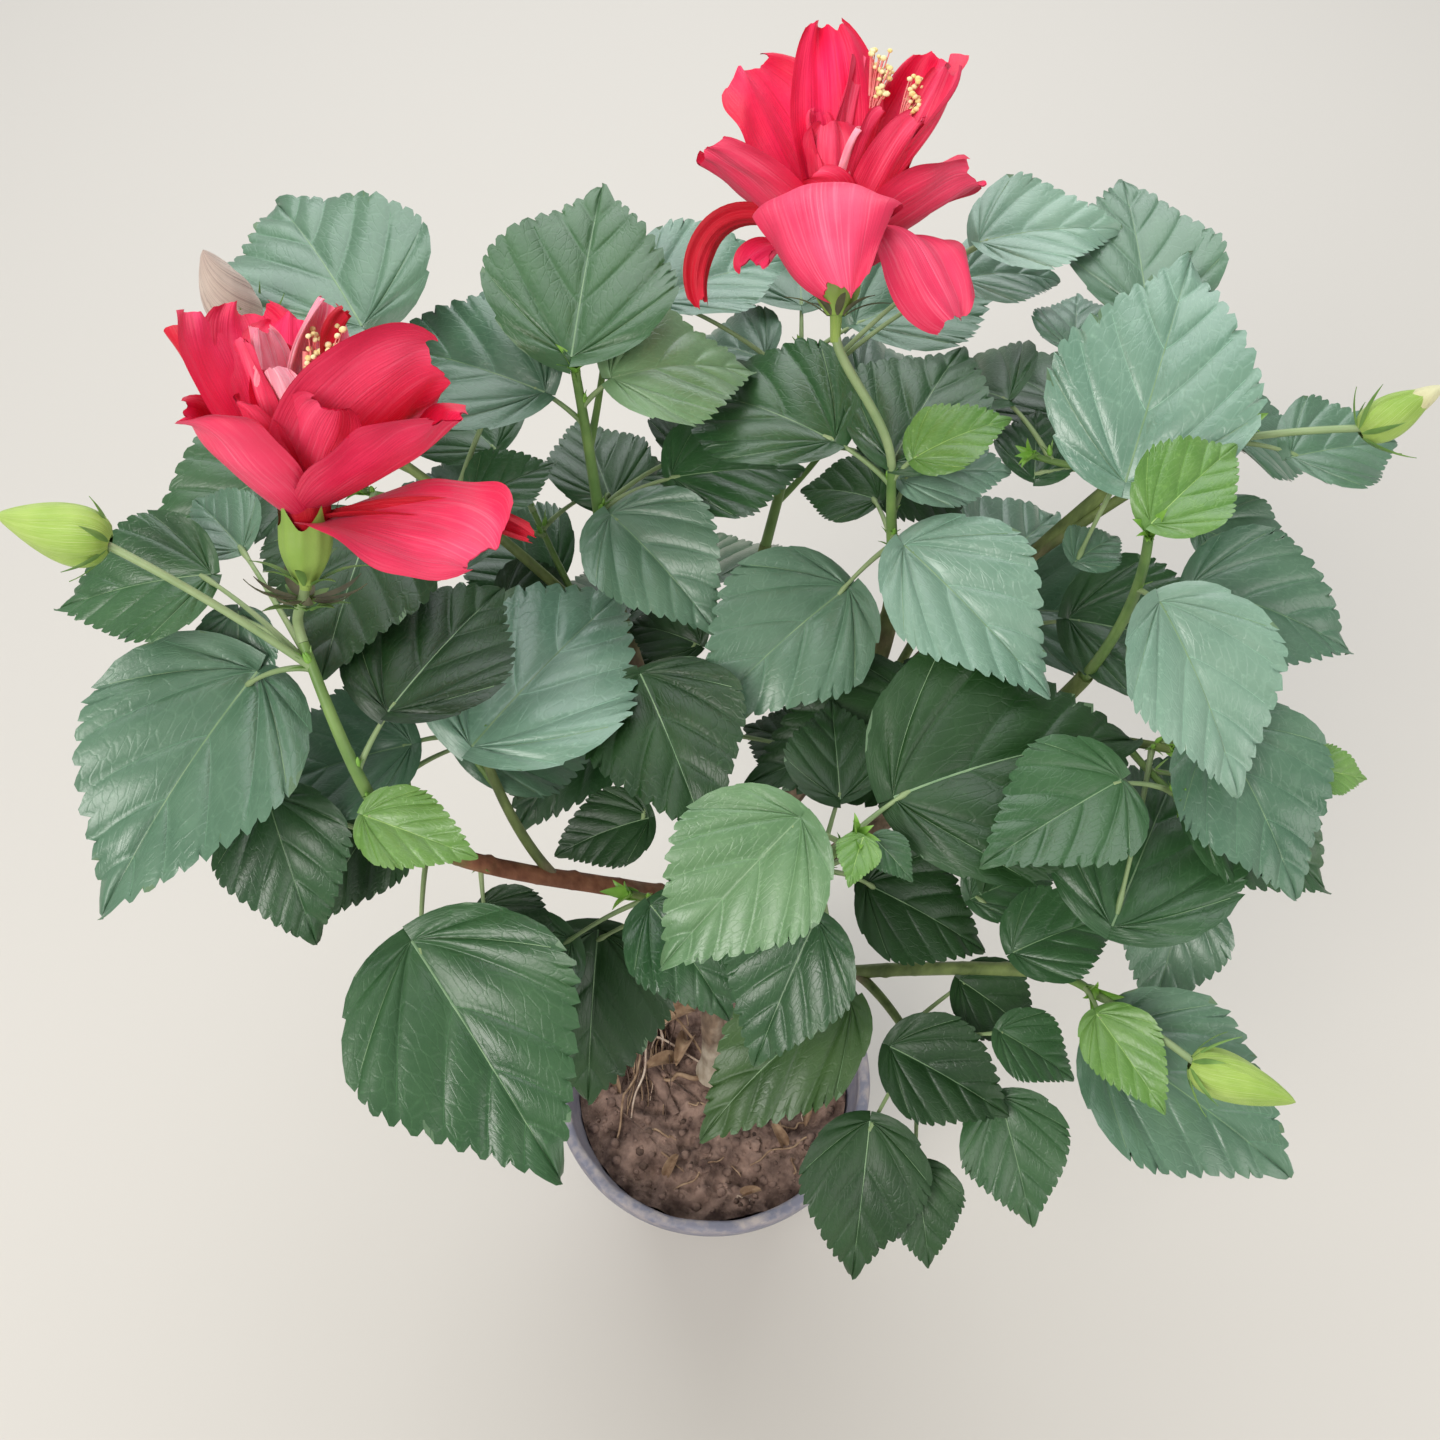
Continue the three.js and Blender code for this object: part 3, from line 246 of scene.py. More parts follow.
# Leaf blades in their fine form: veins, teeth, waves and skins
VEIN_PLACES = (0.0, 0.13, 0.33, 0.50, 0.64, 0.77, 0.88, 1.0)
PANEL_TEETH = (0, 1, 3, 2, 2, 2, 1)
TOOTH_SHARES = (0.05, 0.25, 0.5, 0.78, 1.0)
TOOTH_FORM = (-0.85, 0.05, 0.6, 0.95, 0.9)
TOOTH_DEPTH = 0.015
TOOTH_HOOK = 0.014
SMOOTH_SHARES = (0.03, 0.1, 0.22, 0.42, 0.7, 1.0)
FAN_END = 0.5
RIB_BOW = 1.2
BASE_LOBE = 0.06
LOBE_REACH = 0.16
LEAF_POINT = 0.42
LEAF_SHAPES = {"O": (0.74, 0.1), "Y": (0.86, 0.05)}
QUILT = 0.030
EDGE_WAVE = 0.018
BUCKLE = 0.024
ACROSS = (0, 0.07, 0.17, 0.29, 0.42, 0.55, 0.67, 0.78, 0.88, 0.95, 1)
ACROSS_BELOW = (0, 0.17, 0.42, 0.67, 0.88, 1)
SKIN = 0.22
UNDER_SKIN = 0.6
RIDGE_SINK = 0.15
SPINE_STEPS = 18
SPINE_END = 0.97
SPINE_HEIGHT = 0.7
SPINE_WIDTH = (0.75, 0.16)
SIDE_VEIN_STEPS = 9
SIDE_VEIN_HEIGHT = 0.6
SIDE_VEIN_ENDS = (0.02, 0.93)
BASAL_VEIN_WIDTH = 0.48
SIDE_VEIN_WIDTH = 0.32
VEIN_TIP_WIDTH = 0.1
USUAL_BLADE = 90
LEAST_VEIN = 0.5

UP = np.array([0.0, 0.0, 1.0])
CURVE_STEPS = 200
rad = math.radians


# Small helpers
def vec(*numbers):
    return np.array(numbers, float)


def unit(vector):
    return vector / np.linalg.norm(vector, axis=-1, keepdims=True)


def mix(low, high, share):
    return low + (high - low) * share


def compass(degrees, climb=0.0):
    return vec(math.cos(rad(degrees)), math.sin(rad(degrees)), climb)


def distance(one, other):
    return float(np.linalg.norm(one - other))


def grid(rows, columns):
    return np.meshgrid(rows, columns, indexing="ij")


def circle(sides):
    return np.linspace(0, 2 * np.pi, sides, endpoint=False)


def run_along(points):
    """The distance of each point from the first, along the line."""
    return np.concatenate([[0], np.cumsum(np.linalg.norm(np.diff(points, axis=0), axis=1))])


def upright(arm, turns, height):
    """Places round the plant's upright axis."""
    return np.stack(np.broadcast_arrays(arm * np.cos(turns), arm * np.sin(turns), height), axis=-1)


def along_line(shares, steps, line):
    """Places at shares of a line whose points are at steps."""
    return np.stack([np.interp(shares, steps, line[:, axis]) for axis in range(line.shape[1])], axis=-1)


def seeded(seed):
    state = seed

    def chance():
        nonlocal state
        state = (state * 1664525 + 1013904223) % 4294967296
        return state / 4294967296
    return chance


def within(limits, chance):
    return limits[0] + limits[1] * chance()


class Curve:
    """A Bezier curve through two, three or four points."""

    def __init__(self, *points):
        self.guides = [np.asarray(point, float) for point in points]

    def at(self, share):
        share = np.asarray(share, float)[..., None]
        order = len(self.guides) - 1
        total = 0
        for index, guide in enumerate(self.guides):
            total = total + (math.comb(order, index) * (1 - share) ** (order - index)
                             * share ** index * guide)
        return total

    def points(self, count):
        return self.at(np.linspace(0, 1, count + 1))

    def tangent(self, share):
        before, after = max(share - 1e-4, 0), min(share + 1e-4, 1)
        return unit(self.at(after) - self.at(before))

    def length(self):
        spots = self.points(CURVE_STEPS)
        return float(np.linalg.norm(np.diff(spots, axis=0), axis=1).sum())


# Sheets: the leaf and petal forms that the solids and this script share
def leaf_breadth(s):
    return np.sin(np.pi * np.clip(s, 0, 1) ** 0.62) ** 0.85


def petal_breadth(s):
    claw = mix(PETAL_CLAW, 1, np.sin(np.pi / 2 * np.minimum(s / PETAL_WIDEST, 1)))
    past = np.clip((s - PETAL_WIDEST) / (1 - PETAL_WIDEST), 0, 1)
    return np.where(s <= PETAL_WIDEST, claw, np.sqrt(1 - past ** PETAL_ROUNDNESS))


def sheet_at(sheet, s, y, lift=0.0):
    """The place on a sheet at a share s of its length, y to the side."""
    s, y, lift = np.broadcast_arrays(*(np.asarray(value, float) for value in (s, y, lift)))
    first = sheet.droop - sheet.curl / 2
    slope = first + sheet.curl * s
    run = sheet.length * (np.sin(slope) - math.sin(first)) / sheet.curl
    fall = sheet.length * (math.cos(first) - np.cos(slope)) / sheet.curl
    flat = np.cross(sheet.up, sheet.ahead)
    face = np.sin(slope)[..., None] * sheet.ahead + np.cos(slope)[..., None] * sheet.up
    side = flat * math.cos(sheet.roll) + face * math.sin(sheet.roll)
    normal = face * math.cos(sheet.roll) - flat * math.sin(sheet.roll)
    half = np.maximum(sheet.half * sheet.breadth(s), 1e-3)
    rise = np.abs(y) * math.sin(sheet.fold) + y * y / half * sheet.cup + lift
    return (sheet.foot + run[..., None] * sheet.ahead - fall[..., None] * sheet.up
            + (y * math.cos(sheet.fold))[..., None] * side + rise[..., None] * normal)


def skin_corners(sheet, lift):
    """The coarse skin of the solids: foot, three points a row, and tip."""
    shares = [0] + [row for row in sheet.rows for _ in range(3)] + [1]
    sides = np.array([0] + [1, 0, -1] * len(sheet.rows) + [0])
    return sheet_at(sheet, shares, sides * sheet.half * sheet.breadth(np.array(shares)), lift)


SKIN_TRIANGLES = np.array([
    [0, 2, 1], [0, 3, 2], [1, 2, 4], [2, 5, 4], [2, 3, 5], [3, 6, 5], [4, 5, 7], [5, 6, 7],
])
SKIN_EDGES = np.concatenate([SKIN_TRIANGLES[:, ends] for ends in ([0, 1], [1, 2], [2, 0])])


def leaf_sheet(foot, length, heading, droop, chance):
    half = length * within(LEAF_WIDTH, chance)
    roll = rad(within(LEAF_ROLL, chance) + LEAF_TO_LIGHT * math.cos(rad(heading)))
    curl = rad(within(LEAF_CURL, chance))
    fold = rad(within(LEAF_FOLD, chance))
    return SimpleNamespace(
        foot=foot, length=length, half=half, roll=roll, curl=curl, fold=fold, cup=0.0,
        droop=rad(droop), ahead=compass(heading), up=UP, rows=LEAF_ROWS, breadth=leaf_breadth)


def petal_sheet(bloom, petal):
    turn, start, lean, length, half, curl = petal
    front = np.cross(bloom.right, bloom.axis)
    ahead = bloom.right * math.cos(rad(turn)) + front * math.sin(rad(turn))
    return SimpleNamespace(
        foot=bloom.throat + bloom.axis * (start - PETAL_SINK) + ahead * PETAL_OUT,
        length=length, half=half, roll=0.0, curl=rad(curl), fold=0.0, cup=PETAL_CUP,
        droop=rad(lean - 90), ahead=ahead, up=bloom.axis, rows=PETAL_ROWS, breadth=petal_breadth)


# The clear test of the solids, so that the same leaves are kept
sheets_placed = []
paths_placed = []


def sheet_record(sheet):
    skins = [skin_corners(sheet, lift) for lift in (0, LEAF_GAP, -LEAF_GAP)]
    return SimpleNamespace(
        sheet=sheet, centre=sheet_at(sheet, 0.5, 0), radius=sheet.length * SHEET_REACH,
        edges=skins[0][SKIN_EDGES], triangles=np.concatenate([skin[SKIN_TRIANGLES] for skin in skins]))


def path_record(curve, radius, owner, kin=()):
    points = curve.points(math.ceil(curve.length() / PATH_STEP))
    centre = (points[0] + points[-1]) / 2
    reach = float(np.linalg.norm(points - centre, axis=1).max())
    return SimpleNamespace(owner=owner, kin=kin, points=points, centre=centre,
                           radius=reach + radius, thick=radius)


def crosses(edges, triangles):
    """Whether any edge passes through any triangle."""
    start = edges[:, None, 0]
    ray = edges[:, None, 1] - start
    corner = triangles[None, :, 0]
    one = triangles[None, :, 1] - corner
    two = triangles[None, :, 2] - corner
    normal = np.cross(one, two)
    facing = (ray * normal).sum(-1)
    sign = np.where(facing > 0, 1.0, -1.0)
    depth = facing * sign
    from_corner = start - corner
    first = sign * (ray * np.cross(from_corner, two)).sum(-1)
    second = sign * (ray * np.cross(one, from_corner)).sum(-1)
    along = -sign * (from_corner * normal).sum(-1)
    inside = (first >= 0) & (second >= 0) & (first + second <= depth)
    return bool((inside & (along >= 0) & (along <= depth) & (depth > 0)).any())


def near(one, other):
    return distance(one.centre, other.centre) < one.radius + other.radius


def path_edges(path):
    return np.stack([path.points[:-1], path.points[1:]], axis=1)


def path_cuts_sheet(path, sheet):
    gap = path.thick + LIMB_GAP
    skins = [skin_corners(sheet, lift)[SKIN_TRIANGLES] for lift in (0, gap, -gap)]
    return crosses(path_edges(path), np.concatenate(skins))


def paths_meet(path, other):
    least = path.thick + other.thick + PATH_GAP
    free = path.points[FREE_ROOT_POINTS if other.owner in path.kin else 0:]
    if not len(free):
        return False
    start, end = other.points[:-1], other.points[1:]
    reach = end - start
    along = ((free[:, None] - start) * reach).sum(-1) / (reach * reach).sum(-1)
    closest = start + np.clip(along, 0, 1)[..., None] * reach
    return bool((np.linalg.norm(free[:, None] - closest, axis=-1) < least).any())


def sheet_is_clear(record):
    for other in sheets_placed:
        if near(record, other) and (crosses(record.edges, other.triangles)
                                    or crosses(other.edges, record.triangles)):
            return False
    skin = skin_corners(record.sheet, 0)
    above = skin[:, 2] > POT_HEIGHT + POT_GAP
    beside = np.hypot(skin[:, 0], skin[:, 1]) > RIM_RADIUS + POT_GAP
    if not (above | beside).all():
        return False
    return not any(near(record, path) and path_cuts_sheet(path, record.sheet) for path in paths_placed)


def path_is_clear(path):
    if any(near(path, other) and path_cuts_sheet(path, other.sheet) for other in sheets_placed):
        return False
    return not any(other.owner != path.owner and near(path, other) and paths_meet(path, other)
                   for other in paths_placed)


# Growth, in the same order as the solids
def trunk_radius(share):
    return mix(TRUNK_FOOT_RADIUS, TRUNK_TOP_RADIUS, share) + ROOT_FLARE * np.exp(-ROOT_FLARE_FALL * share)


def taper(radii):
    return lambda share: mix(radii[0], radii[1], share)


def grow_limbs():
    trunk = Curve(*TRUNK)
    limbs = {"trunk": SimpleNamespace(curve=trunk, radius_at=trunk_radius)}
    for name, on, first, second, end, radii in BOUGHS:
        limbs[name] = SimpleNamespace(curve=Curve(trunk.at(on), first, second, end), radius_at=taper(radii))
    for name, limb in limbs.items():
        paths_placed.append(path_record(limb.curve, float(limb.radius_at(0.5)), name))
    return limbs


def grow_stems(limbs):
    shoots = []
    for spec in SHOOTS:
        shoot = SimpleNamespace(**{"twigs": None, "buds": (), **spec})
        bough = limbs[shoot.bough].curve
        root = bough.at(shoot.on)
        tip = vec(*shoot.tip)
        follow = 1 if shoot.on == 1 else SIDE_STEM_FOLLOW
        lead = unit(tip - root) * (1 - follow) + bough.tangent(shoot.on) * follow
        shoot.stem = Curve(root, root + lead * STEM_BEND * distance(root, tip), tip)
        shoot.kin = [shoot.bough] + [bloom["name"] for bloom in BLOOMS if bloom["shoot"] == shoot.name]
        shoot.chance = seeded(shoot.seed)
        paths_placed.append(path_record(shoot.stem, STEM_RADIUS, shoot.name))
        shoots.append(shoot)
    return shoots


def grow_bloom(spec, shoot):
    bloom = SimpleNamespace(**spec)
    bloom.axis = compass(bloom.bearing) * math.cos(rad(bloom.climb)) + UP * math.sin(rad(bloom.climb))
    bloom.right = unit(vec(1, 0, 0) - bloom.axis * bloom.axis[0])
    bloom.base = vec(*bloom.calyx)
    bloom.throat = bloom.base + bloom.axis * CALYX_LENGTH
    away = shoot.stem.tangent(1)
    root = shoot.stem.at(1) + away * CLEAR
    bloom.stalk = Curve(root, root + away * distance(root, bloom.base) * STALK_LEAD,
                        bloom.base - bloom.axis * STALK_ENTRY, bloom.base)
    calyx = Curve(bloom.base - bloom.axis * CALYX_SINK, bloom.throat)
    paths_placed.append(path_record(bloom.stalk, STEM_TIP_RADIUS, bloom.name))
    paths_placed.append(path_record(calyx, CALYX_RADIUS, bloom.name))
    bloom.sheets = [petal_sheet(bloom, petal) for petal in bloom.petals]
    sheets_placed.extend(sheet_record(sheet) for sheet in bloom.sheets)
    return bloom


def grow_buds(shoot):
    grown = []
    for neck, tip, radius, kind in shoot.buds:
        neck, tip = vec(*neck), vec(*tip)
        root = shoot.stem.at(BUD_STALK_ROOT)
        bend = (root + neck) / 2 + UP * BUD_STALK_ARCH * distance(root, neck)
        stalk = Curve(root, bend, mix(neck, tip, BUD_STALK_INSET))
        paths_placed.append(path_record(stalk, BUD_STALK_RADIUS, shoot.name))
        paths_placed.append(path_record(Curve(neck, tip), radius, shoot.name))
        grown.append(SimpleNamespace(neck=neck, tip=tip, radius=radius, kind=kind, stalk=stalk))
    return grown


def petiole_curve(stem, sheet):
    spot = sheet.foot - UP * min(PETIOLE_RISE, sheet.length / 4)
    places = stem.points(STEM_PLACES)[3:-2]
    root = places[np.argmin(np.linalg.norm(places - spot, axis=1))]
    end = sheet_at(sheet, PETIOLE_INSET, 0)
    return Curve(root, (root + end) / 2 + UP * PETIOLE_ARCH * distance(root, end), end)


def place_leaf(shoot, stem, place, length, heading, droop, tone):
    seed = math.floor(shoot.chance() * LEAF_SEEDS)
    for sink, turn, lift in LEAF_TRIES:
        sheet = leaf_sheet(place + UP * lift, length, heading + turn, droop + sink, seeded(seed))
        record = sheet_record(sheet)
        petiole = petiole_curve(stem, sheet)
        path = path_record(petiole, PETIOLE_RADIUS, shoot.name, shoot.kin)
        if sheet_is_clear(record) and path_is_clear(path):
            sheets_placed.append(record)
            path.points = path.points[:-1]
            paths_placed.append(path)
            return [SimpleNamespace(sheet=sheet, petiole=petiole, tone=tone, seed=seed)]
    return []


def grow_twigs(shoot):
    """Side twigs by the seeded rule, each with its leaves."""
    twigs, leaves = [], []
    count, bearing, fan = shoot.twigs
    chance = shoot.chance
    for index in range(count):
        on = TWIG_PLACES[0] + TWIG_PLACES[1] * (index + chance()) / count
        turn = bearing + fan * (2 * ((index * GOLDEN + chance() * TWIG_FAN_JITTER) % 1) - 1)
        length = within(TWIG_LENGTH, chance)
        root = shoot.stem.at(on)
        end = root + compass(turn, TWIG_CLIMB) * length
        twig = Curve(root, (root + end) / 2 - UP * TWIG_SAG * length, end)
        path = path_record(twig, TWIG_RADIUS, shoot.name, shoot.kin)
        if path_is_clear(path):
            paths_placed.append(path)
            twigs.append(twig)
            leaves += grow_twig_leaves(shoot, twig, turn)
    return twigs, leaves


def grow_twig_leaves(shoot, twig, turn):
    leaves = []
    chance = shoot.chance
    middle = shoot.stem.at(0.5)
    for index in range(TWIG_LEAVES):
        swing = (0, -TWIG_LEAF_SWING, TWIG_LEAF_SWING)[index]
        heading = turn + swing + TWIG_LEAF_JITTER * (chance() - 0.5)
        petiole = within(TWIG_LEAF_PETIOLE, chance)
        foot = twig.at(1 - TWIG_LEAF_STEP * index) + compass(heading, TWIG_LEAF_CLIMB) * petiole
        length = within(TWIG_LEAF_BLADE, chance)
        droop = within(TWIG_LEAF_DROOP, chance)
        tone = "MDMG"[int(length * 7) % 4]
        if distance(foot + compass(heading) * length, middle) < ROOM:
            leaves += place_leaf(shoot, twig, foot, length, heading, droop, tone)
    return leaves


limbs = grow_limbs()
shoots = grow_stems(limbs)
blooms = [grow_bloom(spec, next(shoot for shoot in shoots if shoot.name == spec["shoot"]))
          for spec in BLOOMS]
for shoot in shoots:
    shoot.grown_buds = grow_buds(shoot)
for shoot in shoots:
    shoot.grown_leaves = []
    for x, y, z, length, heading, droop, tone in shoot.leaves:
        shoot.grown_leaves += place_leaf(shoot, shoot.stem, vec(x, y, z), length, heading, droop, tone)
for shoot in shoots:
    shoot.grown_twigs = []
    if shoot.twigs:
        shoot.grown_twigs, more = grow_twigs(shoot)
        shoot.grown_leaves += more


# Meshes: many small surfaces of one kind, joined as they are made
class Pile:
    def __init__(self):
        self.points, self.corners, self.sizes, self.looks, self.marks = [], [], [], [], []
        self.count = 0

    def add(self, points, faces, look=0, mark=(0, 0, 0)):
        """Adds a surface. Its mark is a place across, a place along and its own number."""
        faces = np.asarray(faces)
        points = np.asarray(points, float)
        marks = np.stack([np.broadcast_to(part, points.shape[:-1]) for part in mark], axis=-1)
        self.marks.append(marks.reshape(-1, 3))
        self.points.append(points.reshape(-1, 3))
        self.corners.append((faces + self.count).ravel())
        self.sizes.append(np.full(len(faces), faces.shape[1]))
        self.looks.append(np.full(len(faces), look))
        self.count += len(self.points[-1])

    def sheet(self, points, look=0, mark=(0, 0, 0), closed=False, flip=False):
        """Adds the quads between a grid of points; closed joins its last column to its first."""
        rows, columns = np.shape(points)[:2]
        row, column = grid(np.arange(rows - 1), np.arange(columns if closed else columns - 1))
        here, after = row * columns + column, row * columns + (column + 1) % columns
        quads = np.stack([here, after, after + columns, here + columns], axis=-1).reshape(-1, 4)
        self.add(points, quads[:, ::-1] if flip else quads, look, mark)

    def piece(self, name, slot, looks, nodes):
        """Makes the Blender object, in metres, riding on the plant's body."""
        sizes = np.concatenate(self.sizes)
        mesh = bpy.data.meshes.new(name)
        mesh.vertices.add(self.count)
        mesh.vertices.foreach_set("co", (np.concatenate(self.points) / MM_PER_METRE).ravel())
        mesh.loops.add(int(sizes.sum()))
        mesh.loops.foreach_set("vertex_index", np.concatenate(self.corners))
        mesh.polygons.add(len(sizes))
        mesh.polygons.foreach_set("loop_start", np.concatenate([[0], np.cumsum(sizes)[:-1]]))
        mesh.polygons.foreach_set("material_index", np.concatenate(self.looks))
        mesh.polygons.foreach_set("use_smooth", np.full(len(sizes), True))
        mesh.update(calc_edges=True)
        mesh.validate()
        marks = mesh.attributes.new("mark", "FLOAT_VECTOR", "POINT")
        marks.data.foreach_set("vector", np.concatenate(self.marks).ravel())
        for look in looks:
            mesh.materials.append(look)
        made = bpy.data.objects.new(name, mesh)
        bpy.context.scene.collection.objects.link(made)
        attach(made, "root")
        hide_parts(*nodes)


def frames_along(points):
    """Two unit vectors across a line at each point, carried along without twist."""
    tangents = unit(np.gradient(points, axis=0))
    first = np.cross(tangents[0], UP if abs(tangents[0][2]) < 0.9 else vec(1, 0, 0))
    across = [unit(first)]
    for tangent in tangents[1:]:
        across.append(unit(across[-1] - tangent * (across[-1] @ tangent)))
    across = np.array(across)
    return across, np.cross(tangents, across)


def even_points(curve, step):
    """Points along a curve at even distances, and their shares of its length."""
    spots = curve.points(CURVE_STEPS)
    run = run_along(spots)
    shares = np.linspace(0, 1, max(3, math.ceil(run[-1] / step)) + 1)
    return along_line(shares * run[-1], run, spots), shares


def tube(pile, points, radii, sides, look, relief=None):
    """A round stem; relief adds to its radius by distance along and turn."""
    across, other = frames_along(points)
    turns = circle(sides)
    radii = np.broadcast_to(np.asarray(radii, float)[:, None], (len(points), sides))
    if relief is not None:
        radii = radii + relief(run_along(points)[:, None], turns[None, :])
    rings = (points[:, None] + radii[..., None] * (np.cos(turns)[None, :, None] * across[:, None]
                                                   + np.sin(turns)[None, :, None] * other[:, None]))
    shares = np.linspace(0, 1, len(points))[:, None]
    pile.sheet(rings, look, (turns[None, :], shares, OWN_MIDDLE), closed=True)
    fan = np.array([[side, (side + 1) % sides, sides] for side in range(sides)])
    for end, share, turned_out in ((0, 0, fan[:, ::-1]), (-1, 1, fan)):
        pile.add(np.vstack([rings[end], points[end]]), turned_out, look, (0, share, OWN_MIDDLE))


# Leaves, with ribs that fan out from the midrib to a toothed edge
LEAF_FACE, LEAF_UNDER, LEAF_RIB, LEAF_FINE = range(4)


def leaf_ribs():
    """Each rib's place on the edge and its tooth: -1 in a notch, 1 at a tip."""
    places, teeth = [0.0], [0.0]
    for start, end, count in zip(VEIN_PLACES[:-1], VEIN_PLACES[1:], PANEL_TEETH):
        shares = SMOOTH_SHARES if count == 0 else np.concatenate(
            [(np.array(TOOTH_SHARES) + tooth) / count for tooth in range(count)])
        places += [mix(start, end, share) for share in shares]
        teeth += [0] * len(SMOOTH_SHARES) if count == 0 else TOOTH_FORM * count
    teeth[-1] = 0
    return np.array(places), np.array(teeth)


RIB_PLACES, RIB_TEETH = leaf_ribs()


def swell(place, out):
    """How far the blade stands up between its veins, from 0 to 1."""
    panel = np.interp(place, VEIN_PLACES, np.arange(len(VEIN_PLACES)))
    bulge = np.abs(np.sin(np.pi * panel)) ** 0.6
    cross = 1 + 0.16 * np.cos(2 * np.pi * (4.5 * out + 0.6 * panel))
    return cross * bulge * np.sqrt(np.clip(out, 0, 1) * 1.6) * np.clip(1.2 - out, 0, 1)


def blade_breadth(s):
    """The solids' leaf outline, drawn out to a finer point."""
    return leaf_breadth(s) * (1 - LEAF_POINT * np.clip((s - 0.4) / 0.6, 0, 1) ** 1.2)


def rib_point(leaf, place, out, tooth, wave, lift):
    """The place on a leaf at a share out along the rib that ends at place."""
    sheet = leaf.sheet
    narrow, bend = LEAF_SHAPES.get(leaf.tone, (1, 0))
    away = np.abs(out)
    start = np.maximum(0, (place - FAN_END) / (1 - FAN_END))
    s = start + (place - start) * away ** RIB_BOW
    depth = TOOTH_DEPTH * sheet.length * np.minimum(1, 5 * (1 - place))
    uneven = 1 + 0.5 * np.sin(wave[0] * 7 * place + wave[1] + 2 * np.sign(out))
    edge = narrow * sheet.half * blade_breadth(place) + tooth * uneven * depth * away ** 6
    s = s + np.maximum(tooth, 0) * TOOTH_HOOK * away ** 6
    s = s - BASE_LOBE * away ** 1.5 * np.exp(-(place / LOBE_REACH) ** 2)
    ripple = EDGE_WAVE * np.sin(wave[0] * place + wave[1] + np.sign(out)) * away ** 3
    buckle = BUCKLE * np.sin(wave[2] * s + wave[3]) * out * away
    quilt = QUILT * swell(place, away)
    aside = bend * sheet.length * s ** 2
    return sheet_at(sheet, s, out * edge + aside, sheet.length * (ripple + buckle + quilt) + lift)


def leaf_surface(pile, leaf):
    """The blade's upper face and its paler underside, meeting at the edge."""
    chance = seeded(leaf.seed + 1)
    wave = (9 + 8 * chance(), 6 * chance(), 3 + 3 * chance(), 6 * chance())
    own = chance()
    for side, look, columns in ((1, LEAF_FACE, ACROSS), (-1, LEAF_UNDER, ACROSS_BELOW)):
        out = np.concatenate([-np.array(columns[:0:-1]), columns])
        place, out = grid(RIB_PLACES, out)
        tooth = np.broadcast_to(RIB_TEETH[:, None], place.shape)
        lift = SKIN if side > 0 else -UNDER_SKIN
        points = rib_point(leaf, place, out, tooth, wave, lift * (1 - out ** 4))
        pile.sheet(points, look, (out, place, own), flip=side > 0)
    return wave


def ridge(pile, centre, normal, widths, height, look):
    """A narrow raised strip along a line of points on a surface."""
    side = unit(np.cross(unit(np.gradient(centre, axis=0)), normal))
    widths = np.asarray(widths)[:, None]
    pile.sheet(np.stack([centre + side * widths - normal * RIDGE_SINK, centre + normal * height * widths,
                         centre - side * widths - normal * RIDGE_SINK], axis=1), look)


def leaf_veins(pile, leaf, wave, side):
    """The midrib and side veins of one face; side is 1 above and -1 below."""
    sheet = leaf.sheet
    bend = LEAF_SHAPES.get(leaf.tone, (1, 0))[1]
    size = max(sheet.length / USUAL_BLADE, LEAST_VEIN)
    base = SKIN if side > 0 else -UNDER_SKIN
    spine = np.linspace(0.0, SPINE_END, SPINE_STEPS)
    aside = bend * sheet.length * spine ** 2
    middle, above = (sheet_at(sheet, spine, aside, base + lift) for lift in (0, 1))
    ridge(pile, middle, (above - middle) * side, mix(*SPINE_WIDTH, spine) * size, SPINE_HEIGHT, LEAF_RIB)
    out = np.linspace(*SIDE_VEIN_ENDS, SIDE_VEIN_STEPS)
    for index, place in enumerate(VEIN_PLACES[1:-1] if side > 0 else VEIN_PLACES[1:5]):
        width, look = (BASAL_VEIN_WIDTH, LEAF_RIB) if index == 1 else (SIDE_VEIN_WIDTH, LEAF_FINE)
        widths = mix(width, VEIN_TIP_WIDTH, out) * size
        for hand in (-1, 1):
            line, above = (rib_point(leaf, np.full_like(out, place), hand * out, 0 * out, wave, base + lift)
                           for lift in (0, 1))
            ridge(pile, line, unit(above - line) * side, widths, SIDE_VEIN_HEIGHT, look)


# Materials
MIX_FACTOR, MIX_ONE, MIX_OTHER, MIX_COLOUR = 0, 6, 7, 2
CLOUD_SCALE = 34
SPECK_SCALE = 420
SPECK_SHARE = 0.4
SKIN_GRAIN = 500
NET_STRETCH = (11, 18, 7)
NET_WIDTH = 0.09
NET_SHARE = 0.13
BARK_GRAIN = 170
BARK_BLOTCH = 45
STREAK_STRETCH = (26, 2.2, 9)
STREAK_SHARE = 0.55
PETAL_GRAIN = 300


def node(tree, kind, **inputs):
    made = tree.nodes.new(kind)
    for name, value in inputs.items():
        made.inputs[name.replace("_", " ")].default_value = value
    return made


def feed(tree, value, socket):
    """Sets a socket to a number or a colour, or links a node's output to it."""
    if isinstance(value, tuple):
        socket.default_value = (*value, 1)
    elif isinstance(value, (int, float)):
        socket.default_value = value
    else:
        tree.links.new(value, socket)


def stretched(tree, place, stretch):
    mapping = node(tree, "ShaderNodeMapping", Scale=stretch)
    tree.links.new(place, mapping.inputs["Vector"])
    return mapping.outputs["Vector"]


def noise(tree, scale, detail, stretch=None):
    """A noise texture on the object's own coordinates."""
    place = tree.nodes.new("ShaderNodeTexCoord").outputs["Object"]
    if stretch is not None:
        place = stretched(tree, place, stretch)
    made = node(tree, "ShaderNodeTexNoise", Scale=scale, Detail=detail, Roughness=0.55)
    tree.links.new(place, made.inputs["Vector"])
    return made.outputs["Fac"]


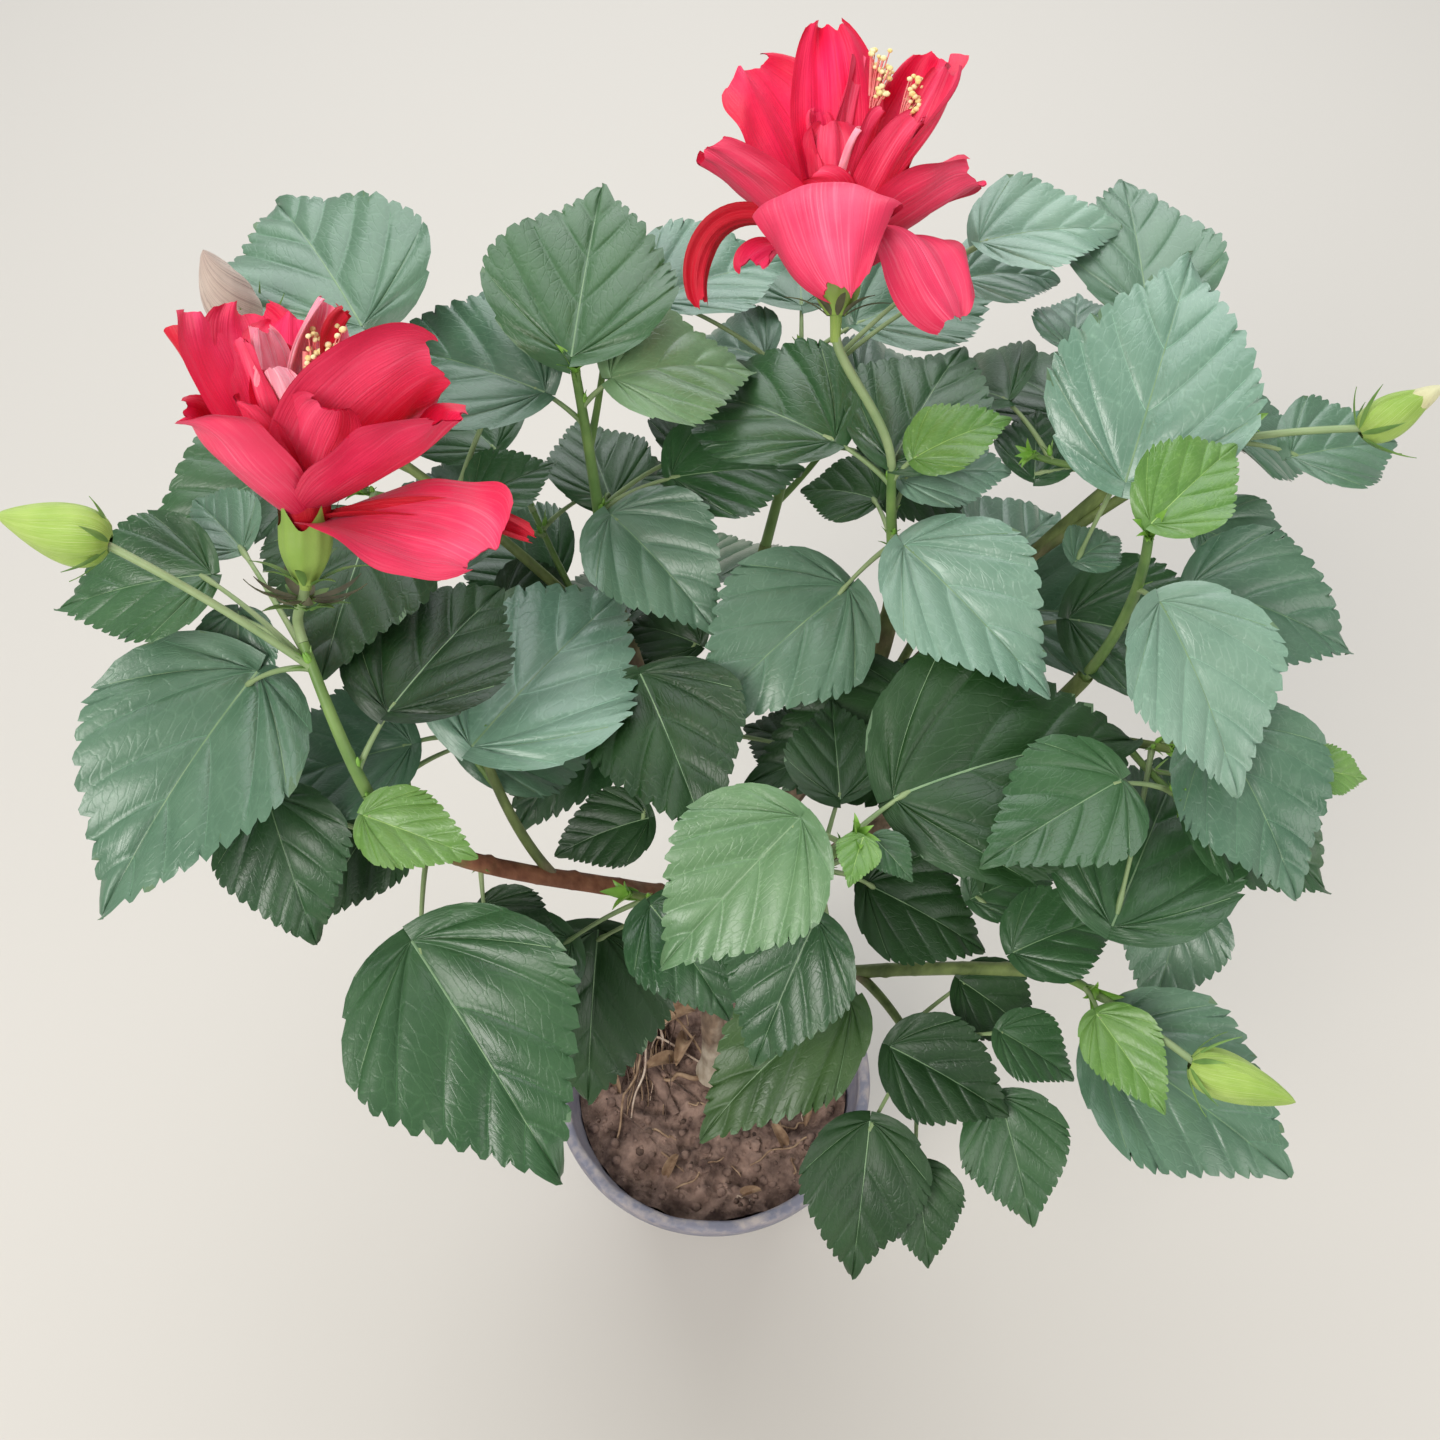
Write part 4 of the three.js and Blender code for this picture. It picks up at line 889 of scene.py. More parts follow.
def ramp(tree, factor, stops):
    """A colour by factor, between stops of a place and a colour."""
    made = tree.nodes.new("ShaderNodeValToRGB")
    elements = made.color_ramp.elements
    while len(elements) < len(stops):
        elements.new(0.5)
    for element, (place, colour) in zip(elements, stops):
        element.position = place
        element.color = (*colour, 1)
    tree.links.new(factor, made.inputs["Fac"])
    return made.outputs["Color"]


def blend(tree, factor, one, other):
    made = tree.nodes.new("ShaderNodeMix")
    made.data_type = "RGBA"
    for index, value in ((MIX_FACTOR, factor), (MIX_ONE, one), (MIX_OTHER, other)):
        feed(tree, value, made.inputs[index])
    return made.outputs[MIX_COLOUR]


def maths(tree, kind, one, other):
    made = tree.nodes.new("ShaderNodeMath")
    made.operation = kind
    for socket, value in zip(made.inputs, (one, other)):
        feed(tree, value, socket)
    return made.outputs[0]


def map_range(tree, value, old, new):
    """Carries a value from its old limits to new ones."""
    made = tree.nodes.new("ShaderNodeMapRange")
    for socket, part in zip(made.inputs, (value, *old, *new)):
        feed(tree, part, socket)
    return made.outputs[0]


def marked(tree, stretch):
    """A surface's marks, scaled, as places for a texture."""
    mark = tree.nodes.new("ShaderNodeAttribute")
    mark.attribute_name = "mark"
    return stretched(tree, mark.outputs["Vector"], stretch)


def mark_part(tree, axis):
    """One part of the marks: X across, Y along, or Z a surface's own number."""
    parts = tree.nodes.new("ShaderNodeSeparateXYZ")
    tree.links.new(marked(tree, (1, 1, 1)), parts.inputs["Vector"])
    return parts.outputs[axis]


def material(name, roughness, **settings):
    """A new material: itself, its tree and its shader."""
    made = bpy.data.materials.new(name)
    made.use_nodes = True
    shader = made.node_tree.nodes["Principled BSDF"]
    shader.inputs["Roughness"].default_value = roughness
    for key, value in settings.items():
        shader.inputs[key.replace("_", " ")].default_value = value
    return made, made.node_tree, shader


def dressed(look, colour, relief, strength, depth):
    """Gives a new material its colour and relief, and returns it."""
    made, tree, shader = look
    feed(tree, colour, shader.inputs["Base Color"])
    bumps = node(tree, "ShaderNodeBump", Strength=strength, Distance=depth)
    tree.links.new(relief, bumps.inputs["Height"])
    tree.links.new(bumps.outputs["Normal"], shader.inputs["Normal"])
    return made


def vein_net(tree):
    """Fine crossed lines between the veins, from 0 to 1."""
    made = node(tree, "ShaderNodeTexVoronoi", Scale=1.0)
    made.feature = "DISTANCE_TO_EDGE"
    tree.links.new(marked(tree, NET_STRETCH), made.inputs["Vector"])
    return map_range(tree, made.outputs["Distance"], (0.0, NET_WIDTH), (1, 0))


def leaf_look(name, deep, bright, roughness, coat):
    """A leathery blade: patches of two tones, a net of fine veins and pale specks."""
    look = material(name, roughness, Coat_Weight=coat, Coat_Roughness=0.3)
    tree, shader = look[1:]
    patches = noise(tree, CLOUD_SCALE, 5)
    own = map_range(tree, mark_part(tree, "Z"), (0, 1), (-0.2, 0.2))
    colour = ramp(tree, maths(tree, "ADD", patches, own), [(0.2, deep), (0.8, bright)])
    paler = tuple(min(1, channel * 1.5 + 0.012) for channel in bright)
    net = vein_net(tree)
    colour = blend(tree, map_range(tree, net, (0, 1), (0, NET_SHARE)), colour, paler)
    specks = map_range(tree, noise(tree, SPECK_SCALE, 3), (0.6, 0.8), (0, SPECK_SHARE))
    colour = blend(tree, specks, colour, paler)
    gloss = map_range(tree, patches, (0.3, 0.75), (roughness - 0.08, roughness + 0.12))
    feed(tree, gloss, shader.inputs["Roughness"])
    relief = maths(tree, "SUBTRACT", noise(tree, SKIN_GRAIN, 3), maths(tree, "MULTIPLY", net, 0.5))
    return dressed(look, colour, relief, 0.28, 0.0006)


def plain_look(name, dark, light, scale, roughness, strength, depth):
    """A matt natural surface: two tones by noise of a scale, and relief from the same noise."""
    look = material(name, roughness)
    grain = noise(look[1], scale, 6)
    return dressed(look, ramp(look[1], grain, [(0.32, dark), (0.68, light)]), grain, strength, depth)


def bark_look(name, stages, roughness=0.8, strength=0.8):
    """Bark whose two tones change along the limb: stages are place, dark and light."""
    look = material(name, roughness)
    tree = look[1]
    grain = noise(tree, BARK_GRAIN, 6, stretch=(1, 1, 0.3))
    uneven_ends = map_range(tree, noise(tree, BARK_BLOTCH, 3), (0.3, 0.7), (-0.13, 0.13))
    along = maths(tree, "ADD", mark_part(tree, "Y"), uneven_ends)
    dark = ramp(tree, along, [(place, deep) for place, deep, _ in stages])
    light = ramp(tree, along, [(place, bright) for place, _, bright in stages])
    colour = blend(tree, map_range(tree, grain, (0.34, 0.66), (0, 1)), dark, light)
    return dressed(look, colour, grain, strength, 0.0011)


def veined_look(name, deep, bright, sheen, streak, roughness=0.5, stretch=STREAK_STRETCH, with_painted_shade=False):
    """Clouded colour with fine veins along it; if asked, painted shade deepens its rim and foot."""
    look = material(name, roughness, Sheen_Weight=0.1, Sheen_Roughness=0.4,
                    Sheen_Tint=(*sheen, 1), Specular_IOR_Level=0.35)
    tree = look[1]
    clouds = noise(tree, CLOUD_SCALE, 3)
    lines = node(tree, "ShaderNodeTexNoise", Scale=1.0, Detail=3.0)
    tree.links.new(marked(tree, stretch), lines.inputs["Vector"])
    lines = lines.outputs["Fac"]
    colour = blend(tree, map_range(tree, lines, (0.5, 0.72), (0, STREAK_SHARE)),
                   ramp(tree, clouds, [(0.3, deep), (0.7, bright)]), streak)
    if with_painted_shade:
        # Painted shade: the colour darkens towards the petal's side edges and its foot in the throat
        side = maths(tree, "ABSOLUTE", mark_part(tree, "X"), 0)
        rim = maths(tree, "ADD", side, maths(tree, "MULTIPLY", clouds, 0.5))
        rim = map_range(tree, rim, (0.7, 1.3), (0, 0.75))
        foot = map_range(tree, mark_part(tree, "Y"), (0.05, 0.4), (0.9, 0))
        painted_shade_colour = tuple(0.78 * channel ** 1.12 for channel in deep)
        colour = blend(tree, maths(tree, "MAXIMUM", rim, foot), colour, painted_shade_colour)
    relief = maths(tree, "ADD", lines, maths(tree, "MULTIPLY", noise(tree, PETAL_GRAIN, 3), 0.5))
    return dressed(look, colour, relief, 0.5, 0.0008)


# Looks of leaves and wood

# A leaf's tone is its name, deep and bright colour, roughness and coat. Dark is partly painted
# shade; Grey and Pale are a painted sky reflection over the leaf's green; Light is partly a painted
# highlight
TONES = {
    "D": ("leaf_dark_painted_shade", (0.005, 0.028, 0.005), (0.020, 0.070, 0.015), 0.45, 0.1),
    "M": ("leaf_mid", (0.019, 0.070, 0.021), (0.048, 0.130, 0.044), 0.36, 0.35),
    "G": ("leaf_grey_painted_sheen", (0.062, 0.145, 0.082), (0.120, 0.225, 0.138), 0.32, 0.5),
    "P": ("leaf_painted_sky_reflection", (0.135, 0.260, 0.178), (0.230, 0.370, 0.268), 0.3, 0.6),
    "L": ("leaf_light_painted_highlight", (0.092, 0.195, 0.078), (0.175, 0.305, 0.140), 0.36, 0.4),
    "O": ("leaf_olive", (0.018, 0.060, 0.014), (0.052, 0.112, 0.028), 0.42, 0.15),
    "Y": ("leaf_young", (0.080, 0.205, 0.030), (0.190, 0.345, 0.080), 0.38, 0.3),
}
UNDER_LOOK = leaf_look("leaf_under", (0.075, 0.150, 0.070), (0.130, 0.215, 0.110), 0.62, 0.25)
# Grain, roughness, and strength and depth of the relief of every vein
VEIN_SKIN = (90, 0.45, 0.2, 0.0004)
VEIN_LOOK = plain_look("leaf_vein", (0.15, 0.27, 0.13), (0.27, 0.40, 0.21), *VEIN_SKIN)
YOUNG_VEIN_LOOK = plain_look("young_vein", (0.26, 0.45, 0.10), (0.40, 0.58, 0.18), *VEIN_SKIN)
GREEN_STEM = plain_look("stem_green", (0.10, 0.20, 0.045), (0.20, 0.32, 0.085), 60, 0.5, 0.4, 0.0006)
PALE_STEM = plain_look("stem_pale", (0.20, 0.30, 0.12), (0.33, 0.42, 0.20), 60, 0.5, 0.4, 0.0006)
BRACT_LOOK = plain_look("bract", (0.09, 0.20, 0.04), (0.22, 0.38, 0.09), 80, 0.5, 0.3, 0.0004)
DRY_BRACT = plain_look("bract_dry", (0.06, 0.06, 0.03), (0.16, 0.15, 0.08), 80, 0.7, 0.4, 0.0005)

# Dark and light tones of bark, and the stages of each kind along its limb
OLD_TONES = (0.085, 0.052, 0.034), (0.29, 0.20, 0.135)
RED_TONES = (0.17, 0.052, 0.024), (0.38, 0.15, 0.08)
GREEN_TONES = (0.09, 0.13, 0.035), (0.19, 0.25, 0.075)
PALE_TONES = (0.34, 0.27, 0.19), (0.60, 0.52, 0.41)
BOUGH_STAGES = [(0, *OLD_TONES), (0.55, *OLD_TONES), (0.95, *GREEN_TONES)]
RED_STAGES = [(0, *OLD_TONES), (0.25, *RED_TONES), (0.6, *RED_TONES), (0.9, *GREEN_TONES)]
THIN_STAGES = [(0, *OLD_TONES), (0.2, *OLD_TONES), (0.42, *GREEN_TONES)]
TRUNK_STAGES = [(0, *PALE_TONES), (0.12, *PALE_TONES), (0.3, *OLD_TONES)]
SIDE_STAGES = [(0, *OLD_TONES), (0.25, *GREEN_TONES)]


# Leaf pieces, one for each tone
def make_leaves():
    piles = {tone: Pile() for tone in TONES}
    for shoot in shoots:
        for leaf in shoot.grown_leaves:
            pile = piles[leaf.tone]
            wave = leaf_surface(pile, leaf)
            for side in (1, -1):
                leaf_veins(pile, leaf, wave, side)
    for tone, pile in piles.items():
        name, deep, bright = TONES[tone][:3]
        fine = plain_look(name + "_vein", tuple(1.8 * channel for channel in deep),
                          tuple(1.4 * channel for channel in bright), *VEIN_SKIN)
        veins = YOUNG_VEIN_LOOK if tone == "Y" else VEIN_LOOK
        pile.piece(name, "foliage", [leaf_look(*TONES[tone]), UNDER_LOOK, veins, fine], foliage_nodes)


# Stems, twigs, petioles and stalks
GREEN, PALE_GREEN, SIDE_BARK = range(3)


def stem(pile, curve, step, foot, tip, sides, look, joints=False):
    """A tapering stem; joints swell where a petiole starts and where its blade begins."""
    points, shares = even_points(curve, step)
    radii = mix(foot, tip, shares)
    if joints:
        joint = 0.5 * np.exp(-((shares - 0.93) / 0.06) ** 2) + 0.4 * np.exp(-(shares / 0.06) ** 2)
        radii = radii + joint
    tube(pile, points, radii, sides, look)


def make_stems():
    stems = Pile()
    for shoot in shoots:
        bark = SIDE_BARK if shoot.on < 1 else GREEN
        stem(stems, shoot.stem, 2, STEM_RADIUS, STEM_TIP_RADIUS, 10, bark)
        for twig in shoot.grown_twigs:
            stem(stems, twig, 3, TWIG_RADIUS, PETIOLE_RADIUS, 8, GREEN)
        for leaf in shoot.grown_leaves:
            stem(stems, leaf.petiole, 3, PETIOLE_RADIUS, PETIOLE_TIP_RADIUS, 7, PALE_GREEN, joints=True)
        for bud in shoot.grown_buds:
            stem(stems, bud.stalk, 2, BUD_STALK_RADIUS, BUD_STALK_RADIUS, 8, PALE_GREEN)
    for bloom in blooms:
        stem(stems, bloom.stalk, 2, STEM_TIP_RADIUS, STEM_TIP_RADIUS, 10, PALE_GREEN)
    side_stem = bark_look("bark_side", SIDE_STAGES, 0.6, 0.5)
    stems.piece("stems", "foliage", [GREEN_STEM, PALE_STEM, side_stem], foliage_nodes)


# Trunk and boughs with the relief of their bark
BOUGH_BARK, RED_BARK, THIN_BARK, TRUNK_BARK = range(4)
BARKS = {"trunk": TRUNK_BARK, "bough_left": RED_BARK, "bough_front": THIN_BARK,
         "bough_front_right": THIN_BARK}
BARK_HEIGHT = 0.16
BARK_RIDGES = 4
BARK_KNOTS = 9
KNOT_STEP = 22
KNOT_START = 20
KNOT_SIZE = 2.2
KNOT_BREADTH = 0.3
KNOT_HEIGHT = 4.0
RIDGE_HEIGHT = 0.3
WOOD_STEP = 1.2
WOOD_SIDES = 28
WOOD_SEED = 40


def bark_relief(seed, height):
    """Relief by place along a limb and turn round it: wandering ridges, knots and rings."""
    chance = seeded(seed)
    ridges = [(3 + index * 2, 0.05 + 0.12 * chance(), 6 * chance()) for index in range(BARK_RIDGES)]
    knots = [(KNOT_START + KNOT_STEP * index + 12 * chance(), 6 * chance()) for index in range(BARK_KNOTS)]

    def relief(run, turn):
        total = 0
        for count, pitch, phase in ridges:
            total = total + np.sin(count * turn + np.sin(pitch * run + phase) * 2.2 + phase)
        total = height * RIDGE_HEIGHT * total
        for place, side in knots:
            away = ((run - place) / KNOT_SIZE) ** 2 + (np.sin((turn - side) / 2) / KNOT_BREADTH) ** 2
            ring = np.exp(-(run - place) ** 2)
            total = total + height * KNOT_HEIGHT * np.exp(-away) + height * ring
        return total
    return relief


def make_wood():
    wood = Pile()
    for index, (name, limb) in enumerate(limbs.items()):
        points, shares = even_points(limb.curve, WOOD_STEP)
        relief = bark_relief(WOOD_SEED + index, BARK_HEIGHT)
        tube(wood, points, limb.radius_at(shares), WOOD_SIDES, BARKS.get(name, BOUGH_BARK), relief)
    barks = [bark_look("bark_bough", BOUGH_STAGES), bark_look("bark_red", RED_STAGES),
             bark_look("bark_thin", THIN_STAGES, 0.6, 0.5), bark_look("bark_trunk", TRUNK_STAGES)]
    wood.piece("wood", "bark", barks, list(limbs))


# Petals: waved and folded sheets
PETAL_STEPS = 34
PETAL_COLUMNS = 31
PETAL_LINE_STEPS = 60
PETAL_SKIN = 0.25
PETAL_SEEDS = (300, 340)
PETAL_TOP = 0.985
TOP_WAVE = 0.05
TOP_NOTCH = 0.014
TOP_FRINGE = 0.007
CLAW_FULLNESS = 0.62
SIDE_WAVE = 0.07
RIM_WAVE = 0.06
RIM_RIPPLE = 0.025
ROLL_START = 0.72
ROLL_SPAN = 0.08
# Petal looks; the pale one is pale pink made paler still as a painted highlight
CRIMSON, DEEP, BACK, PALE_PAINTED_HIGHLIGHT = range(4)

# A petal is its turn about the bloom's axis (90 towards the viewer, 180 to the
# left), start on the column, leans from the axis at its foot, thirds and tip,
# length, half width, the angle of its cup at the edge, sideways bend, twist,
# depth of its folds, roll of its rim, how far its tip narrows, and look.
PETALS = (
    (
        (152, 2, (58, 50, 42, 38), 48, 27, 94, 0, 0, 0.5, 5.0, 0, CRIMSON),
        (20, 2, (74, 83, 94, 106), 64, 26, 24, 0, 34, 0.8, 2.0, 0, BACK),
        (4, 3, (74, 82, 92, 112), 72, 6, 80, 0, 60, 0.8, 0.0, 0.3, DEEP),
        (208, 4, (58, 52, 42, 36), 74, 16, 130, 0, 20, 0.8, 1.0, 0, DEEP),
        (198, 8, (44, 38, 32, 36), 66, 23, 34, -10, 0, 1.2, 2.0, 0, CRIMSON),
        (40, 6, (25, 28, 31, 44), 65, 27, 42, 55, 0, 0.6, 3.0, 0, CRIMSON),
        (84, 4, (28, 26, 28, 38), 46, 12, 52, 30, 0, 0.5, 2.0, 0, CRIMSON),
        (252, 7, (36, 34, 32, 36), 66, 18, 25, 4, 0, 1.8, 1.0, 0, CRIMSON),
        (228, 8, (42, 38, 36, 34), 70, 18, 40, 0, 0, 1.2, 1.5, 0, CRIMSON),
        (14, 5, (60, 57, 50, 40), 60, 28, 60, 0, 0, 0.8, 2.4, 0, CRIMSON),
        (138, 8, (38, 34, 28, 24), 38, 12, 60, 0, 0, 0.7, 2.4, 0, BACK),
        (215, 12, (30, 24, 18, 14), 46, 14, 50, 0, 10, 1.0, 1.2, 0, CRIMSON),
        (262, 24, (8, 6, 6, 16), 46, 10, 40, -14, 50, 2.0, 1.0, 0.2, PALE_PAINTED_HIGHLIGHT),
        (320, 22, (12, 12, 12, 26), 46, 10, 50, 0, -40, 2.0, 1.0, 0, DEEP),
        (20, 20, (24, 22, 18, 24), 30, 8, 60, 0, 40, 1.6, 1.0, 0, PALE_PAINTED_HIGHLIGHT),
        (128, 16, (28, 22, 16, 6), 36, 11, 60, 0, 20, 1.6, 1.0, 0, PALE_PAINTED_HIGHLIGHT),
        (290, 18, (24, 22, 18, 22), 40, 12, 40, 0, -30, 2.0, 1.0, 0, CRIMSON),
        (172, 14, (32, 26, 20, 14), 46, 12, 60, 0, 20, 1.4, 1.2, 0, CRIMSON),
        (184, 20, (24, 20, 16, 10), 42, 8, 60, 0, -30, 1.6, 1.0, 0, PALE_PAINTED_HIGHLIGHT),
    ),
    (
        (110, 1, (22, 62, 154, 168), 98, 27, -50, 24, 0, 0.5, 0.8, 0.55, BACK),
        (178, 4, (50, 58, 148, 204), 76, 6, 60, 0, 80, 1.0, 0.5, 0, DEEP),
        (68, 3, (48, 76, 158, 190), 76, 18, -16, 36, -10, 1.6, 0.5, 0, BACK),
        (160, 7, (56, 55, 56, 60), 60, 18, 50, 0, 10, 1.0, 1.5, 0.1, CRIMSON),
        (246, 11, (22, 20, 20, 28), 76, 24, 24, 42, 0, 1.4, 1.5, 0, CRIMSON),
        (262, 14, (8, 6, 5, 8), 77, 17, 20, 8, 0, 2.4, 1.0, 0.2, CRIMSON),
        (286, 14, (8, 8, 8, 14), 66, 8, 60, -4, 90, 2.0, 1.0, 0, BACK),
        (20, 5, (54, 58, 60, 58), 56, 27, 44, 0, 0, 1.4, 2.4, 0, CRIMSON),
        (335, 12, (34, 32, 26, 18), 80, 20, 60, 0, 20, 2.6, 1.0, 0.2, CRIMSON),
        (12, 12, (36, 34, 28, 20), 70, 11, 70, 0, 60, 2.2, 1.0, 0.2, BACK),
        (44, 8, (36, 34, 30, 28), 54, 12, 60, 10, 0, 0.8, 1.5, 0.1, BACK),
        (142, 4, (60, 76, 112, 128), 44, 14, 50, 14, 0, 0.8, 1.5, 0, CRIMSON),
        (112, 8, (32, 34, 38, 60), 32, 14, 50, -30, 0, 0.8, 2.0, 0, CRIMSON),
        (320, 10, (30, 30, 34, 44), 58, 18, 30, 0, 0, 1.4, 1.0, 0, DEEP),
        (240, 10, (34, 34, 36, 44), 54, 18, 30, 0, 0, 1.4, 1.0, 0, DEEP),
        (10, 26, (26, 22, 18, 14), 34, 11, 50, 0, 0, 1.0, 1.0, 0, CRIMSON),
        (120, 20, (22, 18, 12, 2), 34, 10, 60, 0, 30, 1.6, 1.0, 0, CRIMSON),
        (200, 22, (18, 14, 10, 8), 38, 10, 60, 0, -40, 1.8, 1.0, 0, CRIMSON),
        (60, 22, (20, 18, 16, 20), 30, 6, 60, 0, 40, 1.4, 1.0, 0.2, PALE_PAINTED_HIGHLIGHT),
    ),
)


def petal_line(bloom, turn, start, leans, length, sway, twist):
    """A petal's middle line, with the directions along it, to the side and inwards."""
    front = np.cross(bloom.right, bloom.axis)
    ahead = bloom.right * math.cos(rad(turn)) + front * math.sin(rad(turn))
    flat = np.cross(bloom.axis, ahead)
    steps = np.linspace(0, 1, PETAL_LINE_STEPS + 1)
    lean = np.radians(np.interp(steps, (0, 1 / 3, 2 / 3, 1), leans))[:, None]
    aside = rad(sway) * steps[:, None]
    along = (bloom.axis * np.cos(lean) + ahead * np.sin(lean)) * np.cos(aside) + flat * np.sin(aside)
    inward = bloom.axis * np.sin(lean) - ahead * np.cos(lean)
    side = np.cross(inward, along)
    roll = rad(twist) * steps[:, None]
    side, inward = side * np.cos(roll) + inward * np.sin(roll), inward * np.cos(roll) - side * np.sin(roll)
    foot = bloom.throat + bloom.axis * (start - PETAL_SINK) + ahead * PETAL_OUT
    run = np.cumsum(along[1:] + along[:-1], axis=0) * length / (2 * PETAL_LINE_STEPS)
    return steps, foot + np.vstack([np.zeros(3), run]), side, inward


def petal_width(s, t, half, point, phase):
    """A petal's half width along it: a full claw, a waved edge and a narrowed tip."""
    body = petal_breadth(s) ** np.where(s < PETAL_WIDEST, CLAW_FULLNESS, 1)
    wide = half * body * (1 + SIDE_WAVE * np.sin(9 * s + phase[3] + np.sign(t)) * s)
    return wide * (1 - point * np.clip((s - 0.5) / 0.5, 0, 1))


def petal_lift(s, t, half, folds, rim, phase):
    """How far a petal stands off its smooth sheet: folds, waves, ripples and a rolled rim."""
    edge = np.abs(t)
    pleat = folds * (np.sin(5 * t + phase[4] + 1.5 * s) + 0.6 * np.sin(11 * t + phase[5] - 2 * s)) * s ** 1.3
    wavy = RIM_WAVE * half * (edge ** 3 + s ** 4) * np.sin(11 * s + 3 * t + phase[6]) * s
    ripple = RIM_RIPPLE * half * np.sin(19 * s + 9 * t + phase[7]) * s * (edge ** 2 + s ** 3)
    rolled = rim * np.maximum(0, np.maximum(edge, s ** 2) - ROLL_START) ** 2 / ROLL_SPAN * s
    return pleat + wavy + ripple - rolled


def petal_surface(pile, bloom, petal, seed):
    """A petal's inner and outer face, with its ragged top, folds and waved rim."""
    turn, start, leans, length, half, cupping, sway, twist, folds, rim, point, look = petal
    chance = seeded(seed)
    phase = [2 * math.pi * chance() for _ in range(8)]
    own = chance()
    share, t = grid(np.linspace(0, 1, PETAL_STEPS), np.linspace(-1, 1, PETAL_COLUMNS))
    top = PETAL_TOP - TOP_WAVE * np.sin(2.1 * t + phase[0]) ** 2 - TOP_NOTCH * np.sin(7 * t + phase[1]) ** 2
    s = share * (top - TOP_FRINGE * np.abs(np.sin(15 * t + phase[2])))
    steps, *lines = petal_line(bloom, turn, start, leans, length, sway, twist)
    centre, side, inward = (along_line(s, steps, line) for line in lines)
    arc = rad(cupping) * (1 - 0.25 * s)
    bend = arc * t
    wide = petal_width(s, t, half, point, phase)
    inner = inward * np.cos(bend)[..., None] - side * np.sin(bend)[..., None]
    middle = (centre + side * (wide * np.sin(bend) / arc)[..., None]
              + inward * (wide * (1 - np.cos(bend)) / arc)[..., None])
    lift = petal_lift(s, t, half, folds, rim, phase)
    for face, which in ((1, look), (-1, BACK if look == CRIMSON else look)):
        points = middle + inner * (lift + face * PETAL_SKIN * (1 - np.abs(t) ** 6))[..., None]
        pile.sheet(points, which, (t, s, own), flip=face < 0)


# A veined look is its name, deep and bright colour, sheen and streaks
# These three petal looks get painted shade at their rims and feet
PETALS_WITH_PAINTED_SHADE = (
    ("petal_crimson", (0.80, 0.007, 0.058), (0.95, 0.022, 0.125), (1, 0.5, 0.7), (0.66, 0.004, 0.040)),
    ("petal_deep", (0.56, 0.003, 0.018), (0.78, 0.008, 0.045), (1, 0.4, 0.5), (0.40, 0.002, 0.01)),
    ("petal_back", (0.78, 0.020, 0.090), (0.92, 0.075, 0.170), (1, 0.6, 0.8), (0.94, 0.20, 0.30)),
)
# Pale petaloids: pale pink, brightened further as a painted highlight, without painted shade
PALE_PETAL_PAINTED_HIGHLIGHT = ("petal_pale_painted_highlight", (0.92, 0.09, 0.19), (0.98, 0.56, 0.64), (1, 0.8, 0.9), (0.98, 0.82, 0.84))
PETAL_LOOKS = [veined_look(*values, with_painted_shade=True) for values in PETALS_WITH_PAINTED_SHADE] + [veined_look(*PALE_PETAL_PAINTED_HIGHLIGHT)]


def make_petals():
    for number, (bloom, rows) in enumerate(zip(blooms, PETALS)):
        petals = Pile()
        for index, petal in enumerate(rows):
            petal_surface(petals, bloom, petal, PETAL_SEEDS[number] + index)
        petals.piece("petals_" + bloom.name, "bloom", PETAL_LOOKS, [bloom.name])


# Blades: bracts, stipules and the smallest leaves
BLADE_SKIN = 0.15
# Bracts of a ring: count, distance from the axis, length, half width, lean and curl
CALYX_BRACTS = (7, 3, 15, 1.5, 58, 40)
UPPER_BRACTS = (9, 3, 17, 1.9, 62, -50)
LOWER_BRACTS = (7, 3, 13, 2.2, 70, 30)
BUD_BRACTS = (7, 2.2, 17, 1.1, 48, -34)


def lance_breadth(s):
    return np.sin(np.pi * mix(0.1, 1, np.clip(s, 0, 1) ** 0.8)) ** 0.9


def blade_sheet(foot, ahead, up, length, half, droop, curl, cup=0.25):
    return SimpleNamespace(
        foot=foot, length=length, half=half, roll=0.0, curl=rad(curl), fold=0.0, cup=cup,
        droop=rad(droop), ahead=ahead, up=up, rows=LEAF_ROWS, breadth=lance_breadth)


def small_blade(pile, sheet, look, steps=8, columns=5):
    s, t = grid(np.linspace(0, 1, steps), np.linspace(-1, 1, columns))
    y = t * sheet.half * sheet.breadth(s)
    for side in (1, -1):
        points = sheet_at(sheet, s, y, side * BLADE_SKIN * (1 - t * t))
        pile.sheet(points, look, flip=side > 0)


def ring_axes(axis):
    """Two unit vectors across an axis."""
    right = unit(np.cross(axis, vec(0.2, 0.9, 0.1)))
    return right, np.cross(axis, right)


def around(axis, turn):
    right, front = ring_axes(axis)
    return right * math.cos(turn) + front * math.sin(turn)


def turned(base, axis, height, arm, turn):
    """Places round an axis, at heights along it and at distances from it."""
    right, front = ring_axes(axis)
    return (base + height[..., None] * axis + (arm * np.cos(turn))[..., None] * right
            + (arm * np.sin(turn))[..., None] * front)


def bract_ring(pile, base, axis, bracts, look, seed):
    count, radius, length, half, lean, curl = bracts
    chance = seeded(seed)
    for index in range(count):
        ahead = around(axis, 2 * math.pi * (index + 0.3 * chance()) / count)
        size = 0.8 + 0.4 * chance()
        droop = lean + 16 * chance() - 90
        sheet = blade_sheet(base + ahead * radius, ahead, axis, length * size, half, droop, curl)
        small_blade(pile, sheet, look)


# Round bodies: calyx cups, buds and balls
CUP_RINGS = 14
CUP_SIDES = 60
CUP_LOBES = 5
CUP_FOOT = 3
CUP_WALL = 0.9
CUP_RIB = 0.3
CUP_FLARE = 4
CUP_BELLY = 0.86
BUD_END = 0.01
BALL_RINGS = 6
BALL_SIDES = 7


